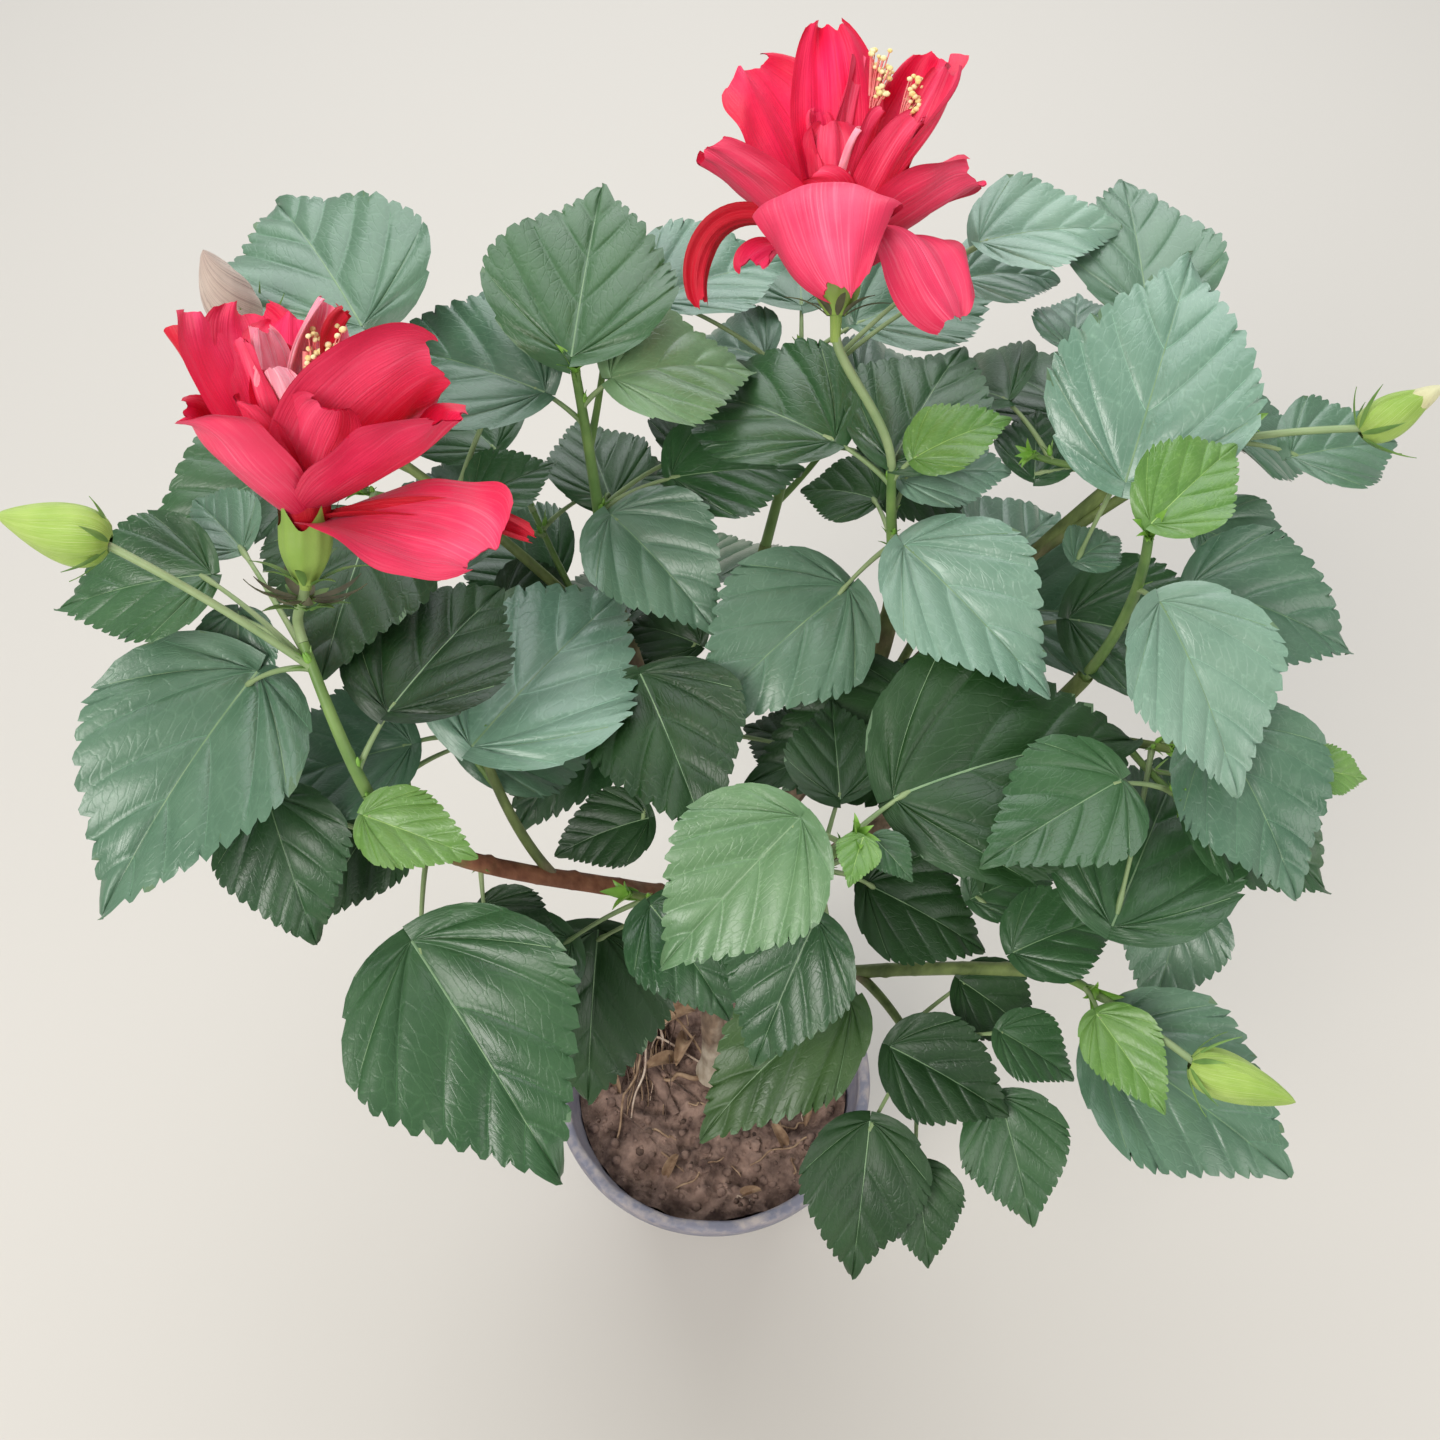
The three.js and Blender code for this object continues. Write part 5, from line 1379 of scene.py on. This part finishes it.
def cup(pile, base, axis, length, radius, look):
    """A calyx: a ribbed cup whose rim rises to pointed lobes."""
    share, turn = grid(np.linspace(0, 1, CUP_RINGS), circle(CUP_SIDES))
    lobe = 1 - np.abs(np.sin(CUP_LOBES * turn / 2)) ** 0.8
    height = share * length * (CUP_BELLY + 0.4 * lobe)
    along = height / length
    wide = mix(CUP_FOOT, radius, np.sin(np.pi / 2 * np.minimum(1, along * 1.5)))
    wide = wide + CUP_FLARE * np.maximum(0, along - CUP_BELLY)
    for inside, flip in ((0.0, False), (CUP_WALL, True)):
        arm = wide + CUP_RIB * np.cos(2 * CUP_LOBES * turn) * share - inside * (1 - share ** 3)
        pile.sheet(turned(base, axis, height, arm, turn), look, closed=True, flip=flip)


def bud_body(pile, start, end, radius, look, seams=5, twist=0.8, fullness=0.7, rings=26, sides=40):
    """A pointed bud with seams; its fullness is how near its foot it is widest."""
    share, turn = grid(np.linspace(0, 1, rings), circle(sides))
    swelling = mix(BUD_END, 1, np.sin(np.pi * mix(0.06, 0.9995, share ** fullness)) ** 0.75)
    seam = np.abs(np.cos(seams * (turn + twist * share) / 2)) ** 0.5
    arm = radius * swelling * (0.88 + 0.12 * seam)
    points = turned(start, unit(end - start), share * distance(start, end), arm, turn)
    pile.sheet(points, look, (seams * (turn + twist * share) / 3, share, OWN_MIDDLE), closed=True)


def ball(pile, centre, radius, look, squash=1.0):
    share, turn = grid(np.linspace(0, np.pi, BALL_RINGS), circle(BALL_SIDES))
    points = centre + radius * np.stack([np.sin(share) * np.cos(turn), np.sin(share) * np.sin(turn),
                                         squash * np.cos(share)], axis=-1)
    pile.sheet(points, look, closed=True, flip=True)


# Calyxes, stamens and buds
CALYX, BRACT, DRY, CREAM, SPENT, BUD = range(6)
POLLEN, STYLE, HEART = range(3)
# Stamens: count, lowest and highest place on the axis, distance to the right and spread
STAMENS = (((60, 40, 58, 5, 6),), ((44, 58, 74, 12, 4), (34, 52, 66, 24, 3), (16, 30, 44, 6, 5)))
CALYX_RISE = (-CALYX_SINK, 5)
HEART_ENDS = (-7, 26)
COLUMN_RADII = (1.8, 1.1)
COLUMN_STEPS = 16
COLUMN_ENDS = (-4, COLUMN_LENGTH + 10)
FILAMENT_RADII = (0.3, 0.25, 0.2)
POLLEN_SIZE = (0.8, 0.5)
LIME_SHEEN = (0.9, 1, 0.6)


def green_looks():
    """Looks of the green parts of blooms and buds, in the order of their names above."""
    calyx = veined_look("calyx", (0.18, 0.31, 0.045), (0.34, 0.49, 0.11), LIME_SHEEN, (0.42, 0.56, 0.18))
    cream = veined_look("cream_tip", (0.62, 0.58, 0.30), (0.88, 0.84, 0.60), (1, 1, 0.8), (0.70, 0.72, 0.36))
    spent = veined_look("spent", (0.56, 0.42, 0.36), (0.78, 0.66, 0.56), (1, 0.9, 0.9), (0.10, 0.020, 0.035),
                        0.7, (9, 0.8, 7))
    bud = veined_look("bud", (0.26, 0.42, 0.055), (0.46, 0.62, 0.14), LIME_SHEEN, (0.62, 0.72, 0.30), 0.42)
    return [calyx, BRACT_LOOK, DRY_BRACT, cream, spent, bud]


def make_calyx(pile, number, bloom):
    """A bloom's calyx, its first bracts and the end of its stalk."""
    foot = bloom.base + bloom.axis * CALYX_RISE[number]
    cup(pile, foot, bloom.axis, CALYX_LENGTH + 1 - CALYX_RISE[number], CALYX_RADIUS, CALYX)
    bract_ring(pile, foot, bloom.axis, CALYX_BRACTS, (BRACT, DRY)[number], 60 + number)
    line = np.array([bloom.base - bloom.axis * 4, foot + bloom.axis])
    tube(pile, line, [STEM_TIP_RADIUS, STEM_TIP_RADIUS + 0.5], 12, CALYX)


def make_column(pile, bloom):
    """The bloom's red heart and the column that stands in it."""
    foot, tip = (bloom.throat + bloom.axis * end for end in HEART_ENDS)
    bud_body(pile, foot, tip, CALYX_RADIUS - 0.5, HEART)
    line = np.linspace(*COLUMN_ENDS, COLUMN_STEPS)[:, None] * bloom.axis + bloom.throat
    tube(pile, line, np.linspace(*COLUMN_RADII, COLUMN_STEPS), 8, STYLE)


def make_stamens(pile, bloom, clusters, chance):
    """Bent filaments with a pollen ball at each end."""
    for count, low, high, aside, spread in clusters:
        for index in range(count):
            arm = around(bloom.axis, 2 * math.pi * index * GOLDEN)
            middle = bloom.throat + bloom.axis * mix(low, high, chance()) + bloom.right * aside
            end = middle + arm * spread * math.sqrt(chance())
            foot = mix(end, bloom.throat + bloom.axis * (low - 8) + bloom.right * aside * 0.7, 0.6)
            tube(pile, np.array([foot, (foot + end) / 2 + bloom.axis, end]), FILAMENT_RADII, 5, STYLE)
            ball(pile, end, within(POLLEN_SIZE, chance), POLLEN, squash=0.7)


def make_bud(pile, bud, axis):
    """A green bud, a bud with a cream tip, or a spent bloom in its calyx."""
    if bud.kind == "spent":
        end = mix(bud.neck, bud.tip, 0.86)
        bud_body(pile, bud.neck + axis * 4, end, bud.radius * 1.35, SPENT, 6, 2.6, 0.6)
        cup(pile, bud.neck, axis, 15, bud.radius, CALYX)
    elif bud.kind == "cream":
        bud_body(pile, mix(bud.neck, bud.tip, 0.35), bud.tip, bud.radius * 0.62, CREAM, 5, 2.2)
        bud_body(pile, bud.neck, mix(bud.neck, bud.tip, 0.88), bud.radius, BUD)
    else:
        bud_body(pile, bud.neck, bud.tip, bud.radius * 1.12, BUD, fullness=0.62)


def make_hearts_and_buds():
    greens, hearts = Pile(), Pile()
    for number, (bloom, clusters) in enumerate(zip(blooms, STAMENS)):
        make_calyx(greens, number, bloom)
        make_column(hearts, bloom)
        make_stamens(hearts, bloom, clusters, seeded(90 + number))
    left = blooms[0]
    bract_ring(greens, left.base - left.axis * 7, left.axis, UPPER_BRACTS, DRY, 77)
    bract_ring(greens, left.base - left.axis * 10, left.axis, LOWER_BRACTS, BRACT, 78)
    pollen = plain_look("pollen", (0.80, 0.66, 0.22), (0.95, 0.88, 0.55), 400, 0.8, 0.5, 0.0004)
    style = plain_look("style", (0.80, 0.10, 0.12), (0.90, 0.36, 0.32), 200, 0.6, 0.3, 0.0004)
    hearts.piece("stamens", "bloom", [pollen, style, PETAL_LOOKS[DEEP]], bloom_nodes)
    for number, shoot in enumerate(shoots):
        for bud in shoot.grown_buds:
            axis = unit(bud.tip - bud.neck)
            make_bud(greens, bud, axis)
            bract_ring(greens, bud.neck, axis, BUD_BRACTS, BRACT, 120 + number)
    greens.piece("buds_and_bracts", "foliage", green_looks(), foliage_nodes + bloom_nodes)


# Sprigs: young leaves at the shoots' tips, and stipules where petioles start
YOUNG, STIPULE = range(2)
TIP_LEAVES = 6
TWIG_TIP_SIZE = 0.8
RESTING_BUDS = 0.6


def tip_leaves(pile, stalk, size, chance):
    tip, axis = stalk.at(1), stalk.tangent(1)
    for index in range(TIP_LEAVES):
        ahead = around(axis, 2 * math.pi * index * GOLDEN)
        length = size * (17 - 2 * index) * (0.7 + 0.5 * chance())
        droop = 20 + 7 * index - 90
        sheet = blade_sheet(tip - axis * (5 - index), ahead, axis, length, length * 0.16, droop, 34, cup=0.6)
        small_blade(pile, sheet, YOUNG, steps=10)


def stipules(pile, petiole, chance):
    """Two stipules at the root of a petiole, and often a resting bud over it."""
    root, away = petiole.at(0), petiole.tangent(0)
    for hand in (-1, 1):
        ahead = unit(away + hand * 0.8 * unit(np.cross(away, UP)) + UP * 0.3)
        up = unit(np.cross(np.cross(ahead, UP), ahead))
        sheet = blade_sheet(root + away * 1.5, ahead, up, 5 + 3 * chance(), 0.5, -20, 30)
        small_blade(pile, sheet, STIPULE, steps=5, columns=3)
    if chance() < RESTING_BUDS:
        bud_body(pile, root + away * 1.2 + UP, root + away * 3.2 + UP * 4.5, 1.1, YOUNG, rings=9, sides=10)


def make_sprigs():
    sprigs = Pile()
    for number, shoot in enumerate(shoots):
        chance = seeded(900 + number)
        if all(bloom.shoot != shoot.name for bloom in blooms):
            tip_leaves(sprigs, shoot.stem, 1.0, chance)
        for twig in shoot.grown_twigs:
            tip_leaves(sprigs, twig, TWIG_TIP_SIZE, chance)
        for leaf in shoot.grown_leaves:
            stipules(sprigs, leaf.petiole, chance)
    young = plain_look("young_tip", (0.13, 0.32, 0.035), (0.27, 0.50, 0.08), 120, 0.45, 0.3, 0.0004)
    sprigs.piece("sprigs", "foliage", [young, BRACT_LOOK], foliage_nodes)


# Pot: the solids' profile with its edges rounded and its rim a little uneven
POT_SIDES = 180
PROFILE_STEP = 1.2
ROUNDING = 1.0
ROUNDING_SPOTS = 7
NECK = POT_HEIGHT - LIP_HEIGHT
LIP_INSIDE = RIM_RADIUS - LIP_WIDTH
WALL_TOP = RIM_RADIUS - LIP_DEPTH
FLOOR_UNDERSIDE = 1.2
FLOOR_EDGE = POT_FOOT_RADIUS - 6
PROFILE_END = SOIL_TOP - 16
WALL_RINGS = (92, 16)
WALL_RING_SIZE = 0.22
WALL_RING_SPREAD = 1.6
LIP_DENT = 0.25
TOP_DENT = 0.35
HOLE_SIDES = 20
HOLE_RINGS = 5
HOLE_STEP = 2 * math.pi / DRAIN_HOLES
POT_BLUES = ((0.15, 0.155, 0.215), (0.25, 0.24, 0.29))
DUST_AND_HIGHLIGHT = (0.44, 0.38, 0.36)


def uneven(seed, waves, size):
    """A smooth field over the plane, about -1 to 1, with humps of one size."""
    chance = seeded(seed)
    parts = [(2 * math.pi * chance(), 2 * math.pi * chance(), 0.7 + 0.6 * chance()) for _ in range(waves)]

    def height(x, y):
        total = 0
        for turn, phase, pitch in parts:
            along = x * math.cos(turn) + y * math.sin(turn)
            total = total + np.sin(along * 2 * pitch * math.pi / size + phase)
        return total * math.sqrt(1.2 / waves)
    return height


def rounded(profile):
    """A profile's points at even steps, its corners eased by a running mean."""
    profile = np.array(profile, float)
    run = run_along(profile)
    spots = np.arange(0, run[-1] + PROFILE_STEP / 2, PROFILE_STEP)
    near = np.linspace(-ROUNDING, ROUNDING, ROUNDING_SPOTS)
    return along_line(np.clip(spots[:, None] + near, 0, run[-1]), run, profile).mean(axis=1)


def inside_radius(height):
    share = (height - POT_FLOOR) / (NECK - POT_EDGE - POT_FLOOR)
    return mix(POT_FOOT_RADIUS - POT_WALL, WALL_TOP - POT_WALL, share)


wear = uneven(5, 14, 26)


def worn(arm, height, turns):
    """Dents in the rim, and faint rings down the wall."""
    dents = wear(arm * np.cos(turns), arm * np.sin(turns))
    lip = np.clip((height - NECK) / LIP_HEIGHT, 0, 1)
    rings = sum(WALL_RING_SIZE * np.exp(-((height - level) / WALL_RING_SPREAD) ** 2) for level in WALL_RINGS)
    return arm + rings + LIP_DENT * lip * dents, height - TOP_DENT * lip * np.abs(dents) * (lip > 0.5)


def pot_wall(pile):
    """The wall and lip, turned from their profile and worn."""
    profile = rounded([
        (FLOOR_EDGE, FLOOR_UNDERSIDE), (POT_FOOT_RADIUS - 5, 0.1), (POT_FOOT_RADIUS - POT_EDGE, 0),
        (POT_FOOT_RADIUS, POT_EDGE), (WALL_TOP, NECK - 1), (WALL_TOP, NECK), (RIM_RADIUS - 0.3, NECK),
        (RIM_RADIUS, POT_HEIGHT - 2.4), (RIM_RADIUS - 1.2, POT_HEIGHT - 0.2), (LIP_INSIDE + 1.8, POT_HEIGHT),
        (LIP_INSIDE, POT_HEIGHT - 1.6), (LIP_INSIDE - 0.6, NECK + 1), (WALL_TOP - POT_WALL, NECK - POT_EDGE),
        (inside_radius(PROFILE_END), PROFILE_END),
    ])
    turns = circle(POT_SIDES)
    arm, height = worn(profile[:, [0]], profile[:, [1]], turns)
    pile.sheet(upright(arm, turns, height), mark=(arm, height, OWN_MIDDLE), closed=True)


def floor_patch(pile, spoke, level, flip):
    """The part of a floor face that lies round one drain hole."""
    share, side = grid(np.linspace(0, 1, HOLE_RINGS), np.arange(HOLE_SIDES))
    turn = 2 * math.pi * side / HOLE_SIDES
    reach = np.clip(np.cos(turn) * 2.2, -1, 1)
    swing = np.clip(np.sin(turn) * 1.6, -1, 1) * HOLE_STEP / 2
    outer = mix(0.0, FLOOR_EDGE, (reach + 1) / 2)
    x = (DRAIN_CIRCLE_RADIUS + DRAIN_RADIUS * np.cos(turn)) * (1 - share) + outer * np.cos(swing) * share
    y = DRAIN_RADIUS * np.sin(turn) * (1 - share) + outer * np.sin(swing) * share
    points = np.stack([x * math.cos(spoke) - y * math.sin(spoke), x * math.sin(spoke) + y * math.cos(spoke),
                       np.full_like(x, level)], axis=-1)
    pile.sheet(points, closed=True, flip=flip)


def drain_bore(pile, spoke):
    """The wall of a drain hole."""
    centre = DRAIN_CIRCLE_RADIUS * vec(math.cos(spoke), math.sin(spoke), 0)
    level, turn = grid((FLOOR_UNDERSIDE, POT_FLOOR), circle(HOLE_SIDES))
    pile.sheet(upright(DRAIN_RADIUS, turn + spoke, level) + centre, closed=True, flip=True)


def pot_look():
    """Dusty grey-blue plastic, paler towards the lip's top with dust and a painted highlight."""
    look = material("pot_plastic", 0.5)
    tree, shader = look[1:]
    colour = ramp(tree, noise(tree, 26, 5), list(zip((0.3, 0.7), POT_BLUES)))
    dust_and_highlight_noise = noise(tree, 130, 8, stretch=(1, 1, 2.2))
    # Dust and painted highlight: paler and rougher towards the top of the lip
    rim = map_range(tree, mark_part(tree, "Y"), (NECK + 3, POT_HEIGHT), (0.25, 0.95))
    dust_and_highlight_share = maths(tree, "MULTIPLY", map_range(tree, dust_and_highlight_noise, (0.42, 0.66), (0, 1)), rim)
    feed(tree, map_range(tree, dust_and_highlight_share, (0, 0.8), (0.42, 0.85)), shader.inputs["Roughness"])
    return dressed(look, blend(tree, dust_and_highlight_share, colour, DUST_AND_HIGHLIGHT), dust_and_highlight_noise, 0.35, 0.0006)


def make_pot():
    pot = Pile()
    pot_wall(pot)
    spokes = [hole * HOLE_STEP for hole in range(DRAIN_HOLES)]
    for level, flip in ((FLOOR_UNDERSIDE, True), (POT_FLOOR, False)):
        for spoke in spokes:
            floor_patch(pot, spoke, level, flip)
    for spoke in spokes:
        drain_bore(pot, spoke)
    pot.piece("pot_shell", "pot", [pot_look()], ["pot"])


# Soil: a lumpy mound with crumbs, dry leaves and pale roots
EARTH, DARK_EARTH, ROOT, DRY_LEAF = range(4)
SOIL_SIDES = 200
SOIL_RINGS = 64
SOIL_SIDE_RINGS = 6
SOIL_SLACK = 0.5
SOIL_EDGE = inside_radius(SOIL_TOP - 5) - SOIL_SLACK
CRUMBS = 620
CRUMB_REACH = 0.97
CRUMB_SIZE = (0.6, 2.4)
DARK_CRUMBS = 1.15
TRUNK_CLEARING = 13
SOIL_SEED = 61
LOOSE_ROOTS = 26
LOOSE_ROOT_REACH = 66
ROOT_REACH = 68
STALKS = 34
ROOT_STEPS = 20
ROOT_BOW = 3
ROOT_SEED = 300
STICK_RELIEF = 0.3
STICK_RADIUS = 4
ROOT_LOOKS = (ROOT, DRY_LEAF, DARK_EARTH, DRY_LEAF)

# Lumps of the ground: seed, waves, size of the humps and their height
LUMPS = ((21, 18, 30, 2.2), (22, 22, 12, 1.3), (23, 26, 5, 0.6), (24, 30, 2.6, 0.3))
lumps = [(uneven(seed, waves, size), height) for seed, waves, size, height in LUMPS]

# Roots and fallen stalks: their ends on the ground, height of the arch and thickness
ROOTS = (
    ((-45, 34), (-6, 12), 5, 0.9), ((-33, 52), (-4, 15), 8, 1.0), ((-45, 21), (-6, -11), 2, 0.8),
    ((-40, 19), (-20, -16), 3, 4.2), ((14, 30), (40, 6), 3, 0.7), ((52, -30), (20, -44), 2, 0.6),
    ((30, -20), (48, 14), 3, 0.7), ((-8, 4), (-30, 2), 3, 1.5), ((8, 2), (22, -14), 2, 1.7),
    ((6, 16), (20, 34), 2, 1.4), ((-58, -8), (-30, -34), 2, 0.5), ((-20, -58), (6, -40), 2, 0.6),
)
# Dry leaves: place, heading and length
DRY_LEAVES = (
    (-30, 34, 20, 26), (-14, 26, 250, 22), (-22, 12, 200, 20), (38, -34, 120, 15),
    (52, -12, 260, 13), (-24, -50, 60, 14), (16, -60, 10, 12), (-56, 4, 300, 14),
)


def soil_height(x, y):
    """The lumpy ground, calm round the trunk's foot and low at the pot's wall."""
    trunk = np.clip(np.hypot(x - TRUNK[0][0], y - TRUNK[0][1]) / 26 - 0.35, 0, 1)
    total = sum(size * field(x, y) for field, size in lumps)
    edge = np.clip((np.hypot(x, y) - 56) / 24, 0, 1)
    return SOIL_TOP + (total - 1.2) * np.maximum(trunk, 0.12) - 5.5 * edge ** 2


def ground(pile):
    """The mound's top, and its side down to the pot's floor."""
    turns = circle(SOIL_SIDES)[None, :]
    away = np.linspace(0, 1, SOIL_RINGS)[:, None] * SOIL_EDGE
    x, y = away * np.cos(turns), away * np.sin(turns)
    top = soil_height(x, y)
    pile.sheet(np.stack([x, y, top], axis=-1), EARTH, closed=True)
    depth = mix(top[-1], POT_FLOOR + CLEAR, np.linspace(0, 1, SOIL_SIDE_RINGS)[:, None])
    arm = np.minimum(SOIL_EDGE, inside_radius(depth) - SOIL_SLACK)
    pile.sheet(upright(arm, turns, depth), EARTH, closed=True)


def on_disc(reach, chance):
    """A seeded place within a circle."""
    away, turn = reach * math.sqrt(chance()), 2 * math.pi * chance()
    return away * math.cos(turn), away * math.sin(turn)


def crumbs(pile, chance):
    for _ in range(CRUMBS):
        x, y = on_disc(SOIL_EDGE * CRUMB_REACH, chance)
        size = CRUMB_SIZE[0] + CRUMB_SIZE[1] * chance() ** 3
        if math.hypot(x - TRUNK[0][0], y - TRUNK[0][1]) > TRUNK_CLEARING:
            centre = vec(x, y, float(soil_height(x, y)) + size * 0.3)
            ball(pile, centre, size, int(chance() * DARK_CRUMBS), 0.5 + 0.5 * chance())


def loose_roots(chance):
    """Short bits of root all over the ground, as rows of ROOTS."""
    rows = []
    for _ in range(LOOSE_ROOTS):
        x, y = on_disc(LOOSE_ROOT_REACH, chance)
        heading = 2 * math.pi * chance()
        reach = 6 + 14 * chance()
        end = (x + reach * math.cos(heading), y + reach * math.sin(heading))
        if math.hypot(*end) < ROOT_REACH:
            rows.append(((x, y), end, 1.5 * chance(), 0.3 + 0.4 * chance()))
    return rows


def stalk_tuft(chance):
    """A tuft of dry stalks on the left of the trunk, as rows of ROOTS."""
    rows = []
    for _ in range(STALKS):
        x, y = -36 + 30 * (chance() - 0.5), 40 + 22 * (chance() - 0.5)
        end = (x - 6 + 22 * (chance() - 0.5), y - 18 - 44 * chance())
        rows.append(((x, y), end, 2 + 6 * chance(), 0.35 + 0.7 * chance() ** 2))
    return rows


def lay_root(pile, number, start, end, arch, thick):
    """A root or stalk that arches over the ground; the thickest is a stick in its bark."""
    share = np.linspace(0, 1, ROOT_STEPS)
    bow = ROOT_BOW * np.sin(3 * share * np.pi + number) * share * (1 - share) * 2
    x, y = mix(start[0], end[0], share) + bow, mix(start[1], end[1], share) - bow
    level = soil_height(x, y)
    z = np.maximum(mix(level[0], level[-1], share), level - thick) + arch * np.sin(np.pi * share)
    stick = thick > STICK_RADIUS
    look = EARTH if stick else ROOT_LOOKS[number % len(ROOT_LOOKS)]
    tube(pile, np.stack([x, y, z], axis=1), thick * mix(1, 0.6, share), 8 if thick < 2 else 16, look,
         bark_relief(ROOT_SEED + number, STICK_RELIEF) if stick else None)


def make_soil():
    soil = Pile()
    ground(soil)
    chance = seeded(SOIL_SEED)
    crumbs(soil, chance)
    rows = [*ROOTS, *loose_roots(chance), *stalk_tuft(chance)]
    for number, row in enumerate(rows):
        lay_root(soil, number, *row)
    for x, y, heading, length in DRY_LEAVES:
        foot = vec(x, y, float(soil_height(x, y)) + 1.5)
        sheet = blade_sheet(foot, compass(heading), UP, length, length * 0.2, -14, 110, cup=1.4)
        small_blade(soil, sheet, DRY_LEAF, steps=14, columns=11)
    earth = plain_look("soil_earth", (0.075, 0.042, 0.033), (0.33, 0.215, 0.170), 95, 0.95, 1.0, 0.004)
    dark = plain_look("soil_dark", (0.045, 0.026, 0.020), (0.16, 0.10, 0.075), 160, 0.95, 1.0, 0.003)
    root = plain_look("root_pale", (0.34, 0.22, 0.16), (0.62, 0.50, 0.40), 200, 0.8, 0.6, 0.0008)
    leaf = plain_look("leaf_dry", (0.16, 0.085, 0.045), (0.44, 0.30, 0.19), 140, 0.75, 0.8, 0.0012)
    soil.piece("soil_bed", "soil", [earth, dark, root, leaf], ["soil"])


# Stage, light and camera
FLOOR_SIZE = 6
FLOOR_COLOUR = (0.62, 0.58, 0.53)
# A lamp is its name, place, aim, size, power and colour
LAMPS = (
    ("sky", (0.0, 1.4, 2.1), (0, 0.05, 0.4), 2.6, 50, (0.93, 0.97, 1.0)),
    ("key", (-1.0, -1.3, 1.9), (0, 0.05, 0.4), 1.2, 36, (1.0, 0.98, 0.94)),
    ("fill", (1.6, -1.3, 1.0), (0, 0.05, 0.35), 1.4, 13, (1.0, 0.98, 0.96)),
)
AIR_COLOUR = (0.92, 0.95, 0.97)
AIR_STRENGTH = 0.42
CAMERA_PLACE = (0.004, -0.290, 0.840)
CAMERA_TILT = 36
LENS = 35
SENSOR_WIDTH = 36


def make_floor():
    look, tree, shader = material("floor_pale", 0.8)
    feed(tree, FLOOR_COLOUR, shader.inputs["Base Color"])
    bpy.ops.mesh.primitive_plane_add(size=FLOOR_SIZE, location=(0, 0, 0))
    floor = bpy.context.object
    floor.name = "floor"
    floor.data.materials.append(look)


def light(name, place, aim, size, power, colour):
    lamp = bpy.data.lights.new(name, "AREA")
    lamp.size = size
    lamp.energy = power
    lamp.color = colour
    made = bpy.data.objects.new(name, lamp)
    made.location = place
    made.rotation_euler = Vector(np.subtract(aim, place)).to_track_quat("-Z", "Y").to_euler()
    bpy.context.scene.collection.objects.link(made)


def make_air():
    world = bpy.data.worlds.new("studio")
    world.use_nodes = True
    background = world.node_tree.nodes["Background"]
    feed(world.node_tree, AIR_COLOUR, background.inputs["Color"])
    feed(world.node_tree, AIR_STRENGTH, background.inputs["Strength"])
    bpy.context.scene.world = world
    bpy.context.scene.view_settings.view_transform = "Standard"


def make_camera():
    view = bpy.data.cameras.new("camera")
    view.lens = LENS
    view.sensor_width = SENSOR_WIDTH
    camera = bpy.data.objects.new("camera", view)
    camera.location = CAMERA_PLACE
    camera.rotation_euler = (rad(CAMERA_TILT), 0, 0)
    bpy.context.scene.collection.objects.link(camera)
    bpy.context.scene.camera = camera


# Every piece of the plant and its pot, and then the stage
foliage_nodes = [shoot.name for shoot in shoots]
bloom_nodes = [bloom.name for bloom in blooms]
make_leaves()
make_stems()
make_wood()
make_petals()
make_hearts_and_buds()
make_sprigs()
make_pot()
make_soil()
make_floor()
for lamp in LAMPS:
    light(*lamp)
make_air()
make_camera()
